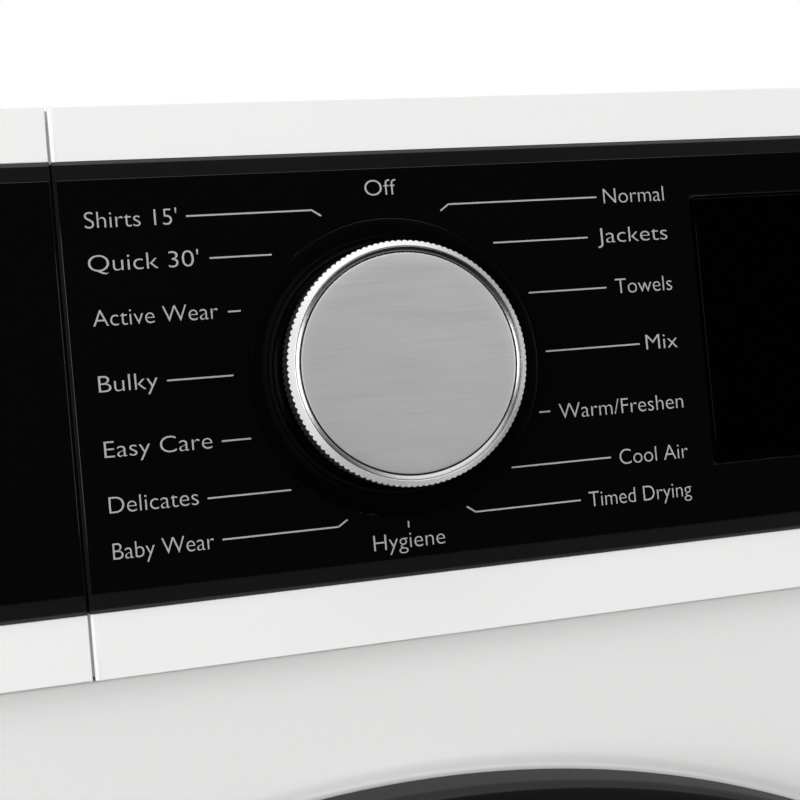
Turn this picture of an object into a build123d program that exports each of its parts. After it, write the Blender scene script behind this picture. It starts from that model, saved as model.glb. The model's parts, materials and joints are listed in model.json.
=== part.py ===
from build123d import *

import os
from math import asin, atan2, cos, degrees, hypot, pi, radians, sin

# A front-loading condenser clothes dryer. X runs to the right, the front faces -Y and +Z is up.
# The origin is on the floor under the middle of the whole machine. All sizes are millimetres.

# Overall sizes. The height is the sum of the stack: base, drum and control panel.
CABINET_W = 595.0
CABINET_D = 600.0  # from the front of the door's dome to the back of the rear bulge
DOOR_PROUD = 30.0  # the dome stands this far in front of the front panel
REAR_PROUD = 10.0  # the rear bulge stands this far behind the rear panel
CASE_Z = 14.0  # underside of the casing above the floor
KICK_TOP = 150.0
DRUM_FLOOR = 184.0  # lowest point of the drum above the floor
DRUM_SIDE_GAP = 17.5  # drum to the outside of the casing
FASCIA_H = 116.0
FASCIA_DROP = 14.0  # the fascia starts this far below the top of the drum

# Materials' thicknesses and gaps
SHEET = 1.0
PLASTIC = 3.0
FIT = 0.5  # between casing pieces that meet
SIDE_FOLD = 12.0
PANEL_DEPTH = 7.5
WORKTOP_T = 14.0
WORKTOP_EASE = 1.5
BULGE_MARGIN = 45.0  # from the drum's radius in to the rear bulge's
LOUVRE_COUNT = 8
LOUVRE_X = 60.0
LOUVRE_W = 8.0
LOUVRE_PITCH = 18.0
LOUVRE_UP = 30.0  # above the casing's underside
LOUVRE_H = 80.0
GRILLE_COUNT = 15
GRILLE_START = 60.0  # from the flap's right edge
GRILLE_W = 6.0
GRILLE_PITCH = 15.0
GRILLE_MARGIN = 26.0
SCREW_R = 1.9
SCREW_HOLE_R = 2.1
SCREW_HEAD_R = 4.2
SCREW_HEAD_T = 2.4
SCREW_ROWS = 4
SCREW_END = 40.0  # from the casing's lower and upper edges to the end screws
INLET_INSET = 45.0
INLET_UP = 150.0
CABLE_R = 4.5
GLAND_R = 8.9
GLAND_HOLE_R = 9.0
GLAND_FLANGE_R = 13.0

# Control panel
FASCIA_PROUD = 4.0
FASCIA_WALL = 4.0
FASCIA_EASE = 0.4
DIAL_X = 4.8
DIAL_UP = 58.0  # dial's centre above the fascia's lower edge
SEAM_LEFT_OF_DIAL = 68.0
SEAM_GAP = 0.5
TRIM_TOP_MARGIN = 11.56
TRIM_BOTTOM_MARGIN = 13.36
TRIM_END_MARGIN = 6.0
TRIM_T = 2.8
TRIM_PROUD = 0.8
TRIM_GAP = 0.12
FILM_T = 0.2  # the pane and the collar stand this far in front of the trim
DISPLAY_LEFT = 72.0  # from the dial's centre
DISPLAY_W = 110.0
DISPLAY_UP = 30.3
DISPLAY_H = 61.15
DISPLAY_CORNER = 1.4
WINDOW_LAND = 4.0  # the display pane rests on this much of the fascia all round
KNOB_R = 25.5
KNOB_PROUD = 12.57
WELL_GAP = 2.3
COLLAR_RIM = 4.11
STEM_R = 3.0
BUTTON_COUNT = 3
BUTTON_W = 16.0
BUTTON_H = 6.0
BUTTON_PITCH = 22.0
BUTTON_UP = 23.5
START_R = 14.0
START_GAP = 32.5  # from the display's right edge to the start button's centre
BUTTON_PROUD = 1.4
BUTTON_TRAVEL = 1.2
BUTTON_GAP = 0.3

# Water drawer
TANK_H = 76.0
TANK_L = 320.0
TANK_SIDE_GAP = 4.0
TANK_SEAM_GAP = 12.0
TANK_CORNER = 8.0
FILL_HOLE_R = 14.0
SHELF_H = 55.0
SHELF_T = 2.0
GRIP_W = 80.0
GRIP_H = 34.0
GRIP_DEPTH = 21.0
GRIP_UP = 26.0

# Door
DOOR_R = 232.0
DOOR_TOP_GAP = 30.3
DOOR_EDGE = 10.0  # depth of the ring's side wall
DOOR_REST_GAP = 1.5
GROOVE_OUT = 1.2  # from the ring's edge to the middle of the panel's pressed groove
GROOVE_HALF_W = 2.0
GROOVE_DEPTH = 0.5
RING_W = 36.0
RING_EASE = 2.5
RING_RISE = 7.0  # the ring's front rises this much from its edge to its bore
LENS_RISE = 6.5
FRAME_T = 12.0
FRAME_LAND = 46.0  # from the ring's bore to the bowl
BOWL_TAPER = 10.0
BOWL_T = 4.0
BOWL_BACK = 48.0  # the bowl's rear end behind the front panel's face
HINGE_INSET = 9.5  # hinge axis inside the ring's outer edge
HINGE_PROUD = 14.0  # hinge axis in front of the front panel
HINGE_PIN_R = 3.0
HINGE_BARREL_R = 6.5
HINGE_HALF = 42.0
KNUCKLE_HALF = 29.5
DOOR_GRIP_HALF = 42.0
DOOR_GRIP_DEPTH = 9.5
DOOR_GRIP_W = 22.0

# Drum and its supports
DRUM_SHEET = 0.8
NECK_STEP = 12.0
NECK_L = 28.0
LIP_W = 28.0
FILTER_DROP = 106.0  # the lint filter's depth below the mouth
MOUTH_GAP = 22.0  # from the bowl to the mouth
CHUTE_HALF_W = 86.0
FILTER_HALF_W = 70.0
LIFTER_H = 50.0
LIFTER_W = 60.0
LIFTER_COUNT = 3
ROLLER_R = 30.0
ROLLER_W = 14.0
ROLLER_ANGLE = 35.0
AXLE_R = 6.0
SHAFT_R = 10.0
RUN_CLEAR = 0.05
TOUCH_GAP = 0.3

# Drive
MOTOR_X = 150.0
MOTOR_Z = 115.0
MOTOR_R = 60.0
MOTOR_L = 130.0
ROTOR_R = 30.0
MOTOR_SHAFT_R = 6.0
PULLEY_R = 9.0
BELT_W = 8.0
BELT_T = 2.0
IDLER_R = 18.0
IDLER_X = 88.0
IDLER_Z = 120.0
IDLER_ARM_L = 60.0
IDLER_PIN_R = 5.0
SPRING_R = 8.0
SPRING_WIRE_R = 0.8
FAN_R = 75.0
FAN_W = 38.0
COOLER_R = 60.0

# Condenser, flap and base
CONDENSER_W = 210.0
CONDENSER_H = 100.0
CONDENSER_GAP = 24.0  # from the condenser to the rear bulkhead
CONDENSER_WALL = 3.0
CONDENSER_Z = 34.0
FLAP_TOP = 138.0
FLAP_T = 3.0
FLAP_PIN_R = 2.5
FLAP_LUG_W = 5.0
FLAP_NOTCH_W = 60.0
FLAP_HINGE_Z = 24.0
TRAY_RIM = 62.0
FOOT_R = 20.0
FOOT_H = 8.0
FOOT_INSET = 45.0
FOOT_REAR_INSET = 55.0
NUT_R = 9.0
STEM_THREAD_R = 5.0
FAN_HOLE_R = 20.0  # the rear bulkhead's hot air holes
FAN_HOLE_RING_R = 68.0
FAN_HOLE_COUNT = 8
DUCT_HALF_W = 100.0
DUCT_SHEET = 1.5
HEATER_BAR_COUNT = 5
HEATER_BAR_PITCH = 20.0
PASSAGE_COUNT = 7
HOSE_R = 8.0
HOSE_BORE_R = 6.0
HOSE_BEND_R = 30.0

# Places worked out from the sizes
HALF_W = CABINET_W / 2
FRONT = DOOR_PROUD - CABINET_D / 2
REAR = CABINET_D / 2 - REAR_PROUD
PANEL_BACK = FRONT + PANEL_DEPTH
CASE_FRONT = PANEL_BACK + FIT
CASE_REAR = REAR - SHEET
INNER_HALF_W = HALF_W - SIDE_FOLD - 2 * FIT
DRUM_R = HALF_W - DRUM_SIDE_GAP
DRUM_Z = DRUM_FLOOR + DRUM_R
FASCIA_Z = DRUM_Z + DRUM_R - FASCIA_DROP
CABINET_H = FASCIA_Z + FASCIA_H
WORKTOP_Z = CABINET_H - WORKTOP_T
FASCIA_FRONT = FRONT - FASCIA_PROUD
TRIM_FRONT = FASCIA_FRONT - TRIM_PROUD
TRIM_BACK = TRIM_FRONT + TRIM_T
TRIM_Z0 = FASCIA_Z + TRIM_BOTTOM_MARGIN
TRIM_Z1 = CABINET_H - TRIM_TOP_MARGIN
DIAL_Z = FASCIA_Z + DIAL_UP
WELL_R = KNOB_R + WELL_GAP
COLLAR_R = WELL_R + COLLAR_RIM
SEAM_X = DIAL_X - SEAM_LEFT_OF_DIAL
DISPLAY_X = DIAL_X + DISPLAY_LEFT
BOARD_Y = CASE_FRONT + 3.0
DOOR_Z = FASCIA_Z - DOOR_TOP_GAP - DOOR_R
DOOR_BACK = FRONT - DOOR_REST_GAP
RING_BORE_R = DOOR_R - RING_W
PANEL_HOLE_R = RING_BORE_R + 9.0
BOWL_R = RING_BORE_R - FRAME_LAND
BOWL_END_R = BOWL_R - BOWL_TAPER
MOUTH_R = BOWL_R + MOUTH_GAP
FLANGE_Y = FRONT + 12.3
HINGE_X = DOOR_R - HINGE_INSET
HINGE_Y = FRONT - HINGE_PROUD
BULKHEAD_Y = FRONT + 48.0
BULKHEAD_T = 4.0
BULKHEAD_Z = KICK_TOP + 15.0
BULKHEAD_TOP = FASCIA_Z + 11.0
SHELF_Z = BULKHEAD_TOP + FIT
DRUM_FRONT = BULKHEAD_Y + BULKHEAD_T + 5.0
DRUM_BACK = REAR - 75.0
NECK_R = DRUM_R - NECK_STEP
REAR_BULKHEAD_Y = DRUM_BACK + 4.0
FAN_BACK = REAR_BULKHEAD_Y - 2.0
BELT_Y = DRUM_BACK - 84.0
MOTOR_Y = BELT_Y - 21.0 - MOTOR_L
FLAP_X0 = -HALF_W + SIDE_FOLD + 8.0
FLAP_X1 = FLAP_X0 + CONDENSER_W + 16.0
FLAP_HINGE_Y = FRONT + 5.5
TRAY_FRONT = FRONT + 20.0
CONDENSER_X0 = -INNER_HALF_W + 8.0
CONDENSER_Y = FRONT + 35.0
CONDENSER_L = REAR_BULKHEAD_Y - CONDENSER_GAP - CONDENSER_Y
BELT_STACK = TOUCH_GAP + BELT_T


def block(x0, x1, y0, y1, z0, z1):
    """A box between two corners."""
    centre = Pos((x0 + x1) / 2, (y0 + y1) / 2, (z0 + z1) / 2)
    return centre * Box(x1 - x0, y1 - y0, z1 - z0)


def rod_x(y, z, radius, x0, x1):
    """A round bar along X."""
    return Pos((x0 + x1) / 2, y, z) * Rot(0, 90, 0) * Cylinder(radius, x1 - x0)


def rod_y(x, z, radius, y0, y1):
    """A round bar along Y."""
    return Pos(x, (y0 + y1) / 2, z) * Rot(90, 0, 0) * Cylinder(radius, y1 - y0)


def rod_z(x, y, radius, z0, z1):
    """A round bar along Z."""
    return Pos(x, y, (z0 + z1) / 2) * Cylinder(radius, z1 - z0)


def tube_y(x, z, outer, inner, y0, y1):
    """A plain ring whose axis runs along Y."""
    return rod_y(x, z, outer, y0, y1) - rod_y(x, z, inner, y0 - 1, y1 + 1)


def turned(x, z, *outline):
    """A turned shape about the Y axis through (x, z); the outline is (radius, y) points."""
    return Pos(x, 0, z) * revolve(make_face(Polyline(*outline, close=True)), Axis.Y)


def rounded_plate(x0, x1, z0, z1, y0, y1, corner):
    """A plate facing the front, with rounded corners."""
    outline = Plane.XZ.offset(-y1) * RectangleRounded(x1 - x0, z1 - z0, corner)
    return Pos((x0 + x1) / 2, 0, (z0 + z1) / 2) * extrude(outline, y1 - y0)


def open_back_box(x0, x1, y0, y1, z0, z1, wall, front_wall):
    """A box open at the back, with four side walls and a front wall."""
    inside = block(x0 + wall, x1 - wall, y0 + front_wall, y1 + 1, z0 + wall, z1 - wall)
    return block(x0, x1, y0, y1, z0, z1) - inside


def button_places():
    """The centres of the option buttons, left to right, under the display."""
    middle = DISPLAY_X + DISPLAY_W - BUTTON_PITCH * (BUTTON_COUNT + 1) / 2 + BUTTON_W / 2
    first = middle - BUTTON_PITCH * (BUTTON_COUNT - 1) / 2
    return [first + BUTTON_PITCH * i for i in range(BUTTON_COUNT)]


def start_x():
    """The start button's centre."""
    return DISPLAY_X + DISPLAY_W + START_GAP


def screw_places():
    """The rear panel's screws, down both edges."""
    low, high = CASE_Z + SCREW_END, WORKTOP_Z - SCREW_END
    heights = [low + (high - low) * i / (SCREW_ROWS - 1) for i in range(SCREW_ROWS)]
    return [(side * (HALF_W - SIDE_FOLD / 2), z) for side in (-1, 1) for z in heights]


def foot_places():
    """The four levelling feet."""
    across = INNER_HALF_W - FOOT_INSET
    return [(x, y) for x in (-across, across) for y in (TRAY_FRONT + FOOT_INSET, CASE_REAR - FOOT_REAR_INSET)]


# ---- Casing


def side_panel():
    """The left side: one sheet with its four edges folded inwards."""
    top = WORKTOP_Z - FIT
    panel = block(-HALF_W, SIDE_FOLD - HALF_W, CASE_FRONT, CASE_REAR, CASE_Z, top)
    panel -= block(SHEET - HALF_W, HALF_W, CASE_FRONT + SHEET, CASE_REAR - SHEET, CASE_Z + SHEET, top - SHEET)
    for x, z in screw_places():
        panel -= rod_y(x, z, SCREW_HOLE_R, CASE_REAR - 5, CASE_REAR + 1)
    return panel


def rear_panel():
    """Flat sheet with a pressed bulge over the hot air duct, and holes for screws, cable and air."""
    bulge_r = DRUM_R - BULGE_MARGIN
    panel = block(-HALF_W, HALF_W, CASE_REAR, REAR, CASE_Z + 2, WORKTOP_Z - FIT)
    panel += rod_y(0, DRUM_Z, bulge_r, CASE_REAR, REAR + REAR_PROUD)
    panel -= rod_y(0, DRUM_Z, bulge_r - SHEET, CASE_REAR - 1, REAR + REAR_PROUD - SHEET)
    for x, z in screw_places():
        panel -= rod_y(x, z, SCREW_HOLE_R, CASE_REAR - 1, REAR + 1)
    panel -= rod_y(*inlet_place(), GLAND_HOLE_R, CASE_REAR - 1, REAR + 1)
    low = CASE_Z + LOUVRE_UP
    for i in range(LOUVRE_COUNT):
        left = LOUVRE_X + LOUVRE_PITCH * i
        panel -= block(left, left + LOUVRE_W, CASE_REAR - 1, REAR + 1, low, low + LOUVRE_H)
    return panel


def worktop():
    """The board that closes the top, with eased edges."""
    board = block(-HALF_W, HALF_W, CASE_FRONT, REAR, WORKTOP_Z, CABINET_H)
    return fillet(board.faces().sort_by(Axis.Z)[-1].edges(), WORKTOP_EASE)


def front_panel():
    """The front sheet: folded edges, a door hole with a rolled lip, and a groove pressed round the door."""
    panel = open_back_box(-HALF_W, HALF_W, FRONT, PANEL_BACK, KICK_TOP + FIT, FASCIA_Z - FIT, SHEET, SHEET)
    panel += rod_y(0, DOOR_Z, PANEL_HOLE_R + SHEET, FRONT, PANEL_BACK)
    middle = DOOR_R + GROOVE_OUT
    reach = GROOVE_HALF_W + SHEET
    panel += tube_y(0, DOOR_Z, middle + reach, middle - reach, FRONT + SHEET / 2, FRONT + SHEET + GROOVE_DEPTH)
    press_r = (GROOVE_HALF_W ** 2 + GROOVE_DEPTH ** 2) / (2 * GROOVE_DEPTH)
    press = Pos(0, FRONT + GROOVE_DEPTH - press_r, DOOR_Z) * Rot(90, 0, 0) * Torus(middle, press_r)
    panel -= press
    return panel - rod_y(0, DOOR_Z, PANEL_HOLE_R, FRONT - 2, PANEL_BACK + 2)


def kick_plate():
    """Moulded plinth with a gap for the flap, lugs for its pins and a grille on the right."""
    plate = open_back_box(-HALF_W, HALF_W, FRONT, PANEL_BACK, CASE_Z, KICK_TOP, PLASTIC, PLASTIC)
    plate -= block(FLAP_X0 - FIT, FLAP_X1 + FIT, FRONT - 1, PANEL_BACK + 1, CASE_Z - 1, FLAP_TOP + FIT)
    for left in (FLAP_X0 - FIT - FLAP_LUG_W, FLAP_X1 + FIT):
        right = left + FLAP_LUG_W
        plate += block(left, right, FRONT + 1, FRONT + 10, CASE_Z, FLAP_HINGE_Z + 6)
        plate -= rod_x(FLAP_HINGE_Y, FLAP_HINGE_Z, FLAP_PIN_R + 0.1, left - 1, right + 1)
    low, high = CASE_Z + GRILLE_MARGIN, KICK_TOP - GRILLE_MARGIN
    for i in range(GRILLE_COUNT):
        left = FLAP_X1 + GRILLE_START + GRILLE_PITCH * i
        plate -= block(left, left + GRILLE_W, FRONT - 1, FRONT + PLASTIC + 1, low, high)
    return plate


def base_tray():
    """Moulded tray that carries the drive, the condenser and the pump, with the idler's post."""
    back = CASE_REAR - FIT
    inner = INNER_HALF_W - PLASTIC
    tray = block(-INNER_HALF_W, INNER_HALF_W, TRAY_FRONT, back, CASE_Z, TRAY_RIM)
    tray -= block(-inner, inner, TRAY_FRONT + PLASTIC, back - PLASTIC, CASE_Z + PLASTIC, TRAY_RIM + 1)
    x1 = CONDENSER_X0 + CONDENSER_W
    wall_back = TRAY_FRONT + PLASTIC + 1
    tray -= block(CONDENSER_X0 - 1, x1 + 1, TRAY_FRONT - 1, wall_back, CONDENSER_Z, TRAY_RIM + 1)
    for y in (CONDENSER_Y + 40, CONDENSER_Y + CONDENSER_L / 2, CONDENSER_Y + CONDENSER_L - 40):
        tray += block(CONDENSER_X0 + 30, x1, y - 2, y + 2, CASE_Z + 1, CONDENSER_Z)
    pivot_x = IDLER_X - IDLER_ARM_L
    post_y = BELT_Y + BELT_W + 22
    tray += block(pivot_x - 10, pivot_x + 10, post_y, post_y + 6, CASE_Z + 1, IDLER_Z + 10)
    tray += rod_y(pivot_x, IDLER_Z, IDLER_PIN_R, BELT_Y + BELT_W + 4, post_y + 1)
    for x, y in foot_places():
        tray -= rod_z(x, y, STEM_THREAD_R + 0.1, CASE_Z - 1, CASE_Z + PLASTIC + 1)
    return tray


def levelling_feet():
    """Four screw-in feet, each with its lock nut."""
    pieces = []
    for x, y in foot_places():
        foot = rod_z(x, y, FOOT_R, 0, FOOT_H - 2) + rod_z(x, y, FOOT_R - 6, FOOT_H - 3, FOOT_H)
        pieces.append(foot + rod_z(x, y, STEM_THREAD_R, FOOT_H - 1, CONDENSER_Z - 3))
        nut = Pos(x, y, FOOT_H + 0.25) * extrude(RegularPolygon(NUT_R, 6), CASE_Z - FOOT_H - 0.5)
        pieces.append(nut - rod_z(x, y, STEM_THREAD_R + RUN_CLEAR, FOOT_H, CASE_Z))
    return Compound(children=pieces)


def casing_screws():
    """The pan-head screws that hold the rear panel."""
    screws = []
    for place in screw_places():
        head = rod_y(*place, SCREW_HEAD_R, REAR, REAR + SCREW_HEAD_T)
        screws.append(head + rod_y(*place, SCREW_R, CASE_REAR - 9, REAR + 1))
    return Compound(children=screws)


def inlet_place():
    """Where the mains cable enters the rear panel."""
    return INNER_HALF_W - INLET_INSET, CASE_Z + INLET_UP


def power_inlet():
    """The gland that the mains cable passes through."""
    x, z = inlet_place()
    gland = rod_y(x, z, GLAND_FLANGE_R, REAR, REAR + 4) + rod_y(x, z, GLAND_R, CASE_REAR - 12, REAR + 9)
    return gland - rod_y(x, z, CABLE_R, CASE_REAR - 13, REAR + 10)


# ---- Control panel


def front_shell(x0, x1):
    """The white moulding of the control panel between two ends, open at the back."""
    shell = open_back_box(x0, x1, FASCIA_FRONT, PANEL_BACK, FASCIA_Z, CABINET_H, PLASTIC, FASCIA_WALL)
    top_front = shell.edges().filter_by(Axis.X).sort_by(lambda e: e.center().Z - e.center().Y)[-1:]
    return fillet(top_front, FASCIA_EASE)


def trim_ends(left_side):
    """Where the black trim starts and ends: at the casing's side, and at the seam that it reaches."""
    if left_side:
        return TRIM_END_MARGIN - HALF_W, SEAM_X - SEAM_GAP / 2
    return SEAM_X + SEAM_GAP / 2, HALF_W - TRIM_END_MARGIN


def trim_plate(left_side):
    """The satin black plate, with its front edges chamfered except at the seam."""
    x0, x1 = trim_ends(left_side)
    plate = block(x0, x1, TRIM_FRONT, TRIM_BACK, TRIM_Z0, TRIM_Z1)
    edges = plate.faces().sort_by(Axis.Y)[0].edges().sort_by(Axis.X)
    return chamfer(edges[:-1] if left_side else edges[1:], TRIM_PROUD)


def trim_recess(left_side):
    """The shallow seat for the trim plate, open at the seam."""
    x0, x1 = trim_ends(left_side)
    z0, z1 = TRIM_Z0 - TRIM_GAP, TRIM_Z1 + TRIM_GAP
    return block(x0 - TRIM_GAP, x1 + TRIM_GAP, FASCIA_FRONT - 1, TRIM_BACK, z0, z1)


def button_outline(gap, y0, y1):
    """The option buttons' shape, or their holes when gap is more than nothing."""
    z = FASCIA_Z + BUTTON_UP
    half_w = BUTTON_W / 2 + gap
    half_h = BUTTON_H / 2 + gap
    return [rounded_plate(x - half_w, x + half_w, z - half_h, z + half_h, y0, y1, half_h - 0.05)
            for x in button_places()]


def control_fascia():
    """The fixed moulding that carries the dial, the display and the buttons."""
    shell = front_shell(SEAM_X + SEAM_GAP / 2, HALF_W) - trim_recess(False)
    y0, y1 = FASCIA_FRONT - 1, FASCIA_FRONT + FASCIA_WALL + 1
    shell -= rod_y(DIAL_X, DIAL_Z, WELL_R, y0, y1)
    shell -= rod_y(start_x(), DIAL_Z, START_R + BUTTON_GAP, y0, y1)
    for hole in button_outline(BUTTON_GAP, y0, y1):
        shell -= hole
    x0, x1 = DISPLAY_X + WINDOW_LAND, DISPLAY_X + DISPLAY_W - WINDOW_LAND
    z0 = FASCIA_Z + DISPLAY_UP
    return shell - block(x0, x1, y0, y1, z0 + WINDOW_LAND, z0 + DISPLAY_H - WINDOW_LAND)


def fascia_trim():
    """The fixed half of the black trim, with its holes."""
    plate = trim_plate(False)
    plate -= rod_y(DIAL_X, DIAL_Z, COLLAR_R + TRIM_GAP, TRIM_FRONT - 1, TRIM_BACK + 1)
    plate -= rod_y(start_x(), DIAL_Z, START_R + BUTTON_GAP, TRIM_FRONT - 1, TRIM_BACK + 1)
    for hole in button_outline(BUTTON_GAP, TRIM_FRONT - 1, TRIM_BACK + 1):
        plate -= hole
    z0 = FASCIA_Z + DISPLAY_UP
    x0, x1 = DISPLAY_X - TRIM_GAP, DISPLAY_X + DISPLAY_W + TRIM_GAP
    z1 = z0 + DISPLAY_H + TRIM_GAP
    corner = DISPLAY_CORNER + TRIM_GAP
    return plate - rounded_plate(x0, x1, z0 - TRIM_GAP, z1, TRIM_FRONT - 1, TRIM_BACK + 1, corner)


def display_window():
    """The clear pane over the display."""
    z0 = FASCIA_Z + DISPLAY_UP
    x1, z1 = DISPLAY_X + DISPLAY_W, z0 + DISPLAY_H
    return rounded_plate(DISPLAY_X, x1, z0, z1, TRIM_FRONT - FILM_T, TRIM_BACK, DISPLAY_CORNER)


def dial_collar():
    """The dished ring around the dial."""
    floor = TRIM_BACK + 0.5
    back = TRIM_BACK + 3
    front = TRIM_FRONT - FILM_T
    seat_r = WELL_R - 0.2
    return turned(
        DIAL_X, DIAL_Z,
        (COLLAR_R, front), (COLLAR_R, TRIM_BACK), (seat_r, TRIM_BACK), (seat_r, back),
        (STEM_R + 1, back), (STEM_R + 1, floor), (WELL_R - 4, floor), (WELL_R - 1.5, TRIM_FRONT + 1.5),
        (WELL_R, front),
    )


def program_dial():
    """The knob: a rim, a narrower skirt behind it and a stem into the encoder."""
    front = FASCIA_FRONT - KNOB_PROUD
    skirt = KNOB_R - 2.4
    return turned(
        DIAL_X, DIAL_Z,
        (0, front + 0.6), (KNOB_R - 2.6, front + 0.6), (KNOB_R - 1.7, front), (KNOB_R - 0.4, front + 0.4),
        (KNOB_R, front + 1.2), (KNOB_R, front + 7.6), (skirt, front + 8.2), (skirt, TRIM_BACK - 0.5),
        (STEM_R, TRIM_BACK - 0.5), (STEM_R, BOARD_Y - 2), (0, BOARD_Y - 2),
    )


def control_board():
    """The circuit board with the display module and the dial's encoder on it."""
    end = start_x() + 30
    board = block(DIAL_X - 45, end, BOARD_Y, BOARD_Y + 1.6, FASCIA_Z + 14, CABINET_H - 20)
    z0 = FASCIA_Z + DISPLAY_UP
    module = block(DISPLAY_X + 6, DISPLAY_X + DISPLAY_W - 6, TRIM_BACK + 1, BOARD_Y, z0 + 6, z0 + DISPLAY_H - 6)
    encoder = block(DIAL_X - 8, DIAL_X + 8, BOARD_Y - 7, BOARD_Y, DIAL_Z - 8, DIAL_Z + 8)
    encoder -= rod_y(DIAL_X, DIAL_Z, STEM_R + RUN_CLEAR, BOARD_Y - 8, BOARD_Y - 1)
    return Compound(children=[board, module, encoder])


def pressed_button(cap):
    """A button: its cap and the plunger behind it."""
    centre = cap.center()
    plunger = rod_y(centre.X, centre.Z, 2.2, FASCIA_FRONT + 4, BOARD_Y - BUTTON_TRAVEL - 0.4)
    return cap + plunger


def buttons():
    """The option buttons and the start button, each a node of its own."""
    front = TRIM_FRONT - BUTTON_PROUD
    back = FASCIA_FRONT + 6
    nodes = {}
    for i, cap in enumerate(button_outline(0, front, back), 1):
        nodes[f"option_button_{i}"] = pressed_button(cap)
    nodes["start_button"] = pressed_button(rod_y(start_x(), DIAL_Z, START_R, front, back))
    return nodes


# ---- Water drawer


def grip_box(wall, front, back):
    """The drawer's finger pocket, grown by a wall."""
    middle = (SEAM_X - HALF_W) / 2
    half = GRIP_W / 2 + wall
    z0 = FASCIA_Z + GRIP_UP
    return block(middle - half, middle + half, front, back, z0 - wall, z0 + GRIP_H + wall)


def drawer_front():
    """The white front of the water drawer with its finger pocket."""
    pocket = FASCIA_FRONT + GRIP_DEPTH
    shell = front_shell(-HALF_W, SEAM_X - SEAM_GAP / 2) - trim_recess(True)
    return shell + grip_box(PLASTIC, FRONT, pocket + PLASTIC) - grip_box(0, FASCIA_FRONT - 2, pocket)


def drawer_trim():
    """The black trim on the drawer's front."""
    return trim_plate(True) - grip_box(0, FASCIA_FRONT - 2, FRONT)


def tank_sides():
    """The water tank's left and right sides."""
    return TANK_SIDE_GAP - INNER_HALF_W, SEAM_X - TANK_SEAM_GAP


def tank_box(wall):
    """The water tank's outside, or its inside when wall is more than nothing."""
    x0, x1 = tank_sides()
    front = FASCIA_FRONT + GRIP_DEPTH + PLASTIC
    z0 = SHELF_Z + TANK_SIDE_GAP
    return block(x0 + wall, x1 - wall, front + wall, front + TANK_L - wall, z0 + wall, z0 + TANK_H - wall)


def water_tank():
    """The closed tank, with a filling hole near the back of its top."""
    tank = fillet(tank_box(0).edges().filter_by(Axis.Y), TANK_CORNER) - tank_box(PLASTIC)
    top = SHELF_Z + TANK_H
    return tank - rod_z(sum(tank_sides()) / 2, FASCIA_FRONT + TANK_L, FILL_HOLE_R, top - 10, top + 10)


def shelf_back():
    """The rear face of the drawer's shelf."""
    return FASCIA_FRONT + GRIP_DEPTH + TANK_L + 25


def drawer_shelf():
    """The runner tray that the water drawer slides on, with its rear wall."""
    x0, x1 = -INNER_HALF_W, SEAM_X - TANK_SEAM_GAP / 2
    y1 = shelf_back()
    top = SHELF_Z + SHELF_H
    tray = block(x0, x1, CASE_FRONT, y1, SHELF_Z, top)
    inside = block(x0 + SHELF_T, x1 - SHELF_T, CASE_FRONT - 1, y1 - SHELF_T, SHELF_Z + SHELF_T, top + 1)
    return tray - inside


# ---- Drum


def drum():
    """The drum: a front lip, the track that runs on the rollers, the wall and the back."""
    inner = DRUM_R - DRUM_SHEET
    neck_in = NECK_R - DRUM_SHEET
    shoulder = DRUM_FRONT + NECK_L
    lip_r = NECK_R - LIP_W
    return turned(
        0, DRUM_Z,
        (lip_r, DRUM_FRONT), (NECK_R, DRUM_FRONT), (NECK_R, shoulder), (DRUM_R, shoulder), (DRUM_R, DRUM_BACK),
        (SHAFT_R + 2, DRUM_BACK), (SHAFT_R + 2, DRUM_BACK - DRUM_SHEET), (inner, DRUM_BACK - DRUM_SHEET),
        (inner, shoulder + DRUM_SHEET), (neck_in, shoulder + DRUM_SHEET), (neck_in, DRUM_FRONT + DRUM_SHEET),
        (lip_r, DRUM_FRONT + DRUM_SHEET),
    )


def lifter_ridge(seat, wall, y0, y1):
    """A rounded ridge standing on the drum's wall below the axis, shrunk by a wall."""
    outline = Polyline((wall - LIFTER_W / 2, -seat - 5), (-12 + wall / 2, LIFTER_H - seat - wall),
                       (12 - wall / 2, LIFTER_H - seat - wall), (LIFTER_W / 2 - wall, -seat - 5), close=True)
    ridge = extrude(Plane.XZ.offset(-y1) * make_face(outline), y1 - y0)
    return fillet(ridge.edges().filter_by(Axis.Y).sort_by(Axis.Z)[-2:], 9 - wall)


def drum_lifters():
    """The hollow ridges that lift the clothes, spaced evenly round the drum."""
    y0 = DRUM_FRONT + NECK_L + 12
    y1 = DRUM_BACK - 8
    seat = DRUM_R - DRUM_SHEET - 0.1
    ridge = lifter_ridge(seat, 0, y0, y1) - lifter_ridge(seat, PLASTIC, y0 + PLASTIC, y1 - PLASTIC)
    ridge = ridge & rod_y(0, 0, seat, y0 - 1, y1 + 1)
    turns = [360 / LIFTER_COUNT * i for i in range(LIFTER_COUNT)]
    return Compound(children=[Pos(0, 0, DRUM_Z) * Rot(0, turn, 0) * ridge for turn in turns])


def drum_shaft():
    """The flange riveted to the drum's back, and its shaft."""
    flange = rod_y(0, DRUM_Z, 60, DRUM_BACK, DRUM_BACK + 3)
    return flange + rod_y(0, DRUM_Z, SHAFT_R, DRUM_BACK, REAR_BULKHEAD_Y + 40)


def rear_bearing():
    """The bush that the drum's shaft turns in."""
    bush = rod_y(0, DRUM_Z, 25, REAR_BULKHEAD_Y, REAR_BULKHEAD_Y + 22)
    bush += rod_y(0, DRUM_Z, 32, REAR_BULKHEAD_Y + BULKHEAD_T, REAR_BULKHEAD_Y + BULKHEAD_T + 3)
    return bush - rod_y(0, DRUM_Z, SHAFT_R + RUN_CLEAR, REAR_BULKHEAD_Y - 1, REAR_BULKHEAD_Y + 23)


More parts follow.
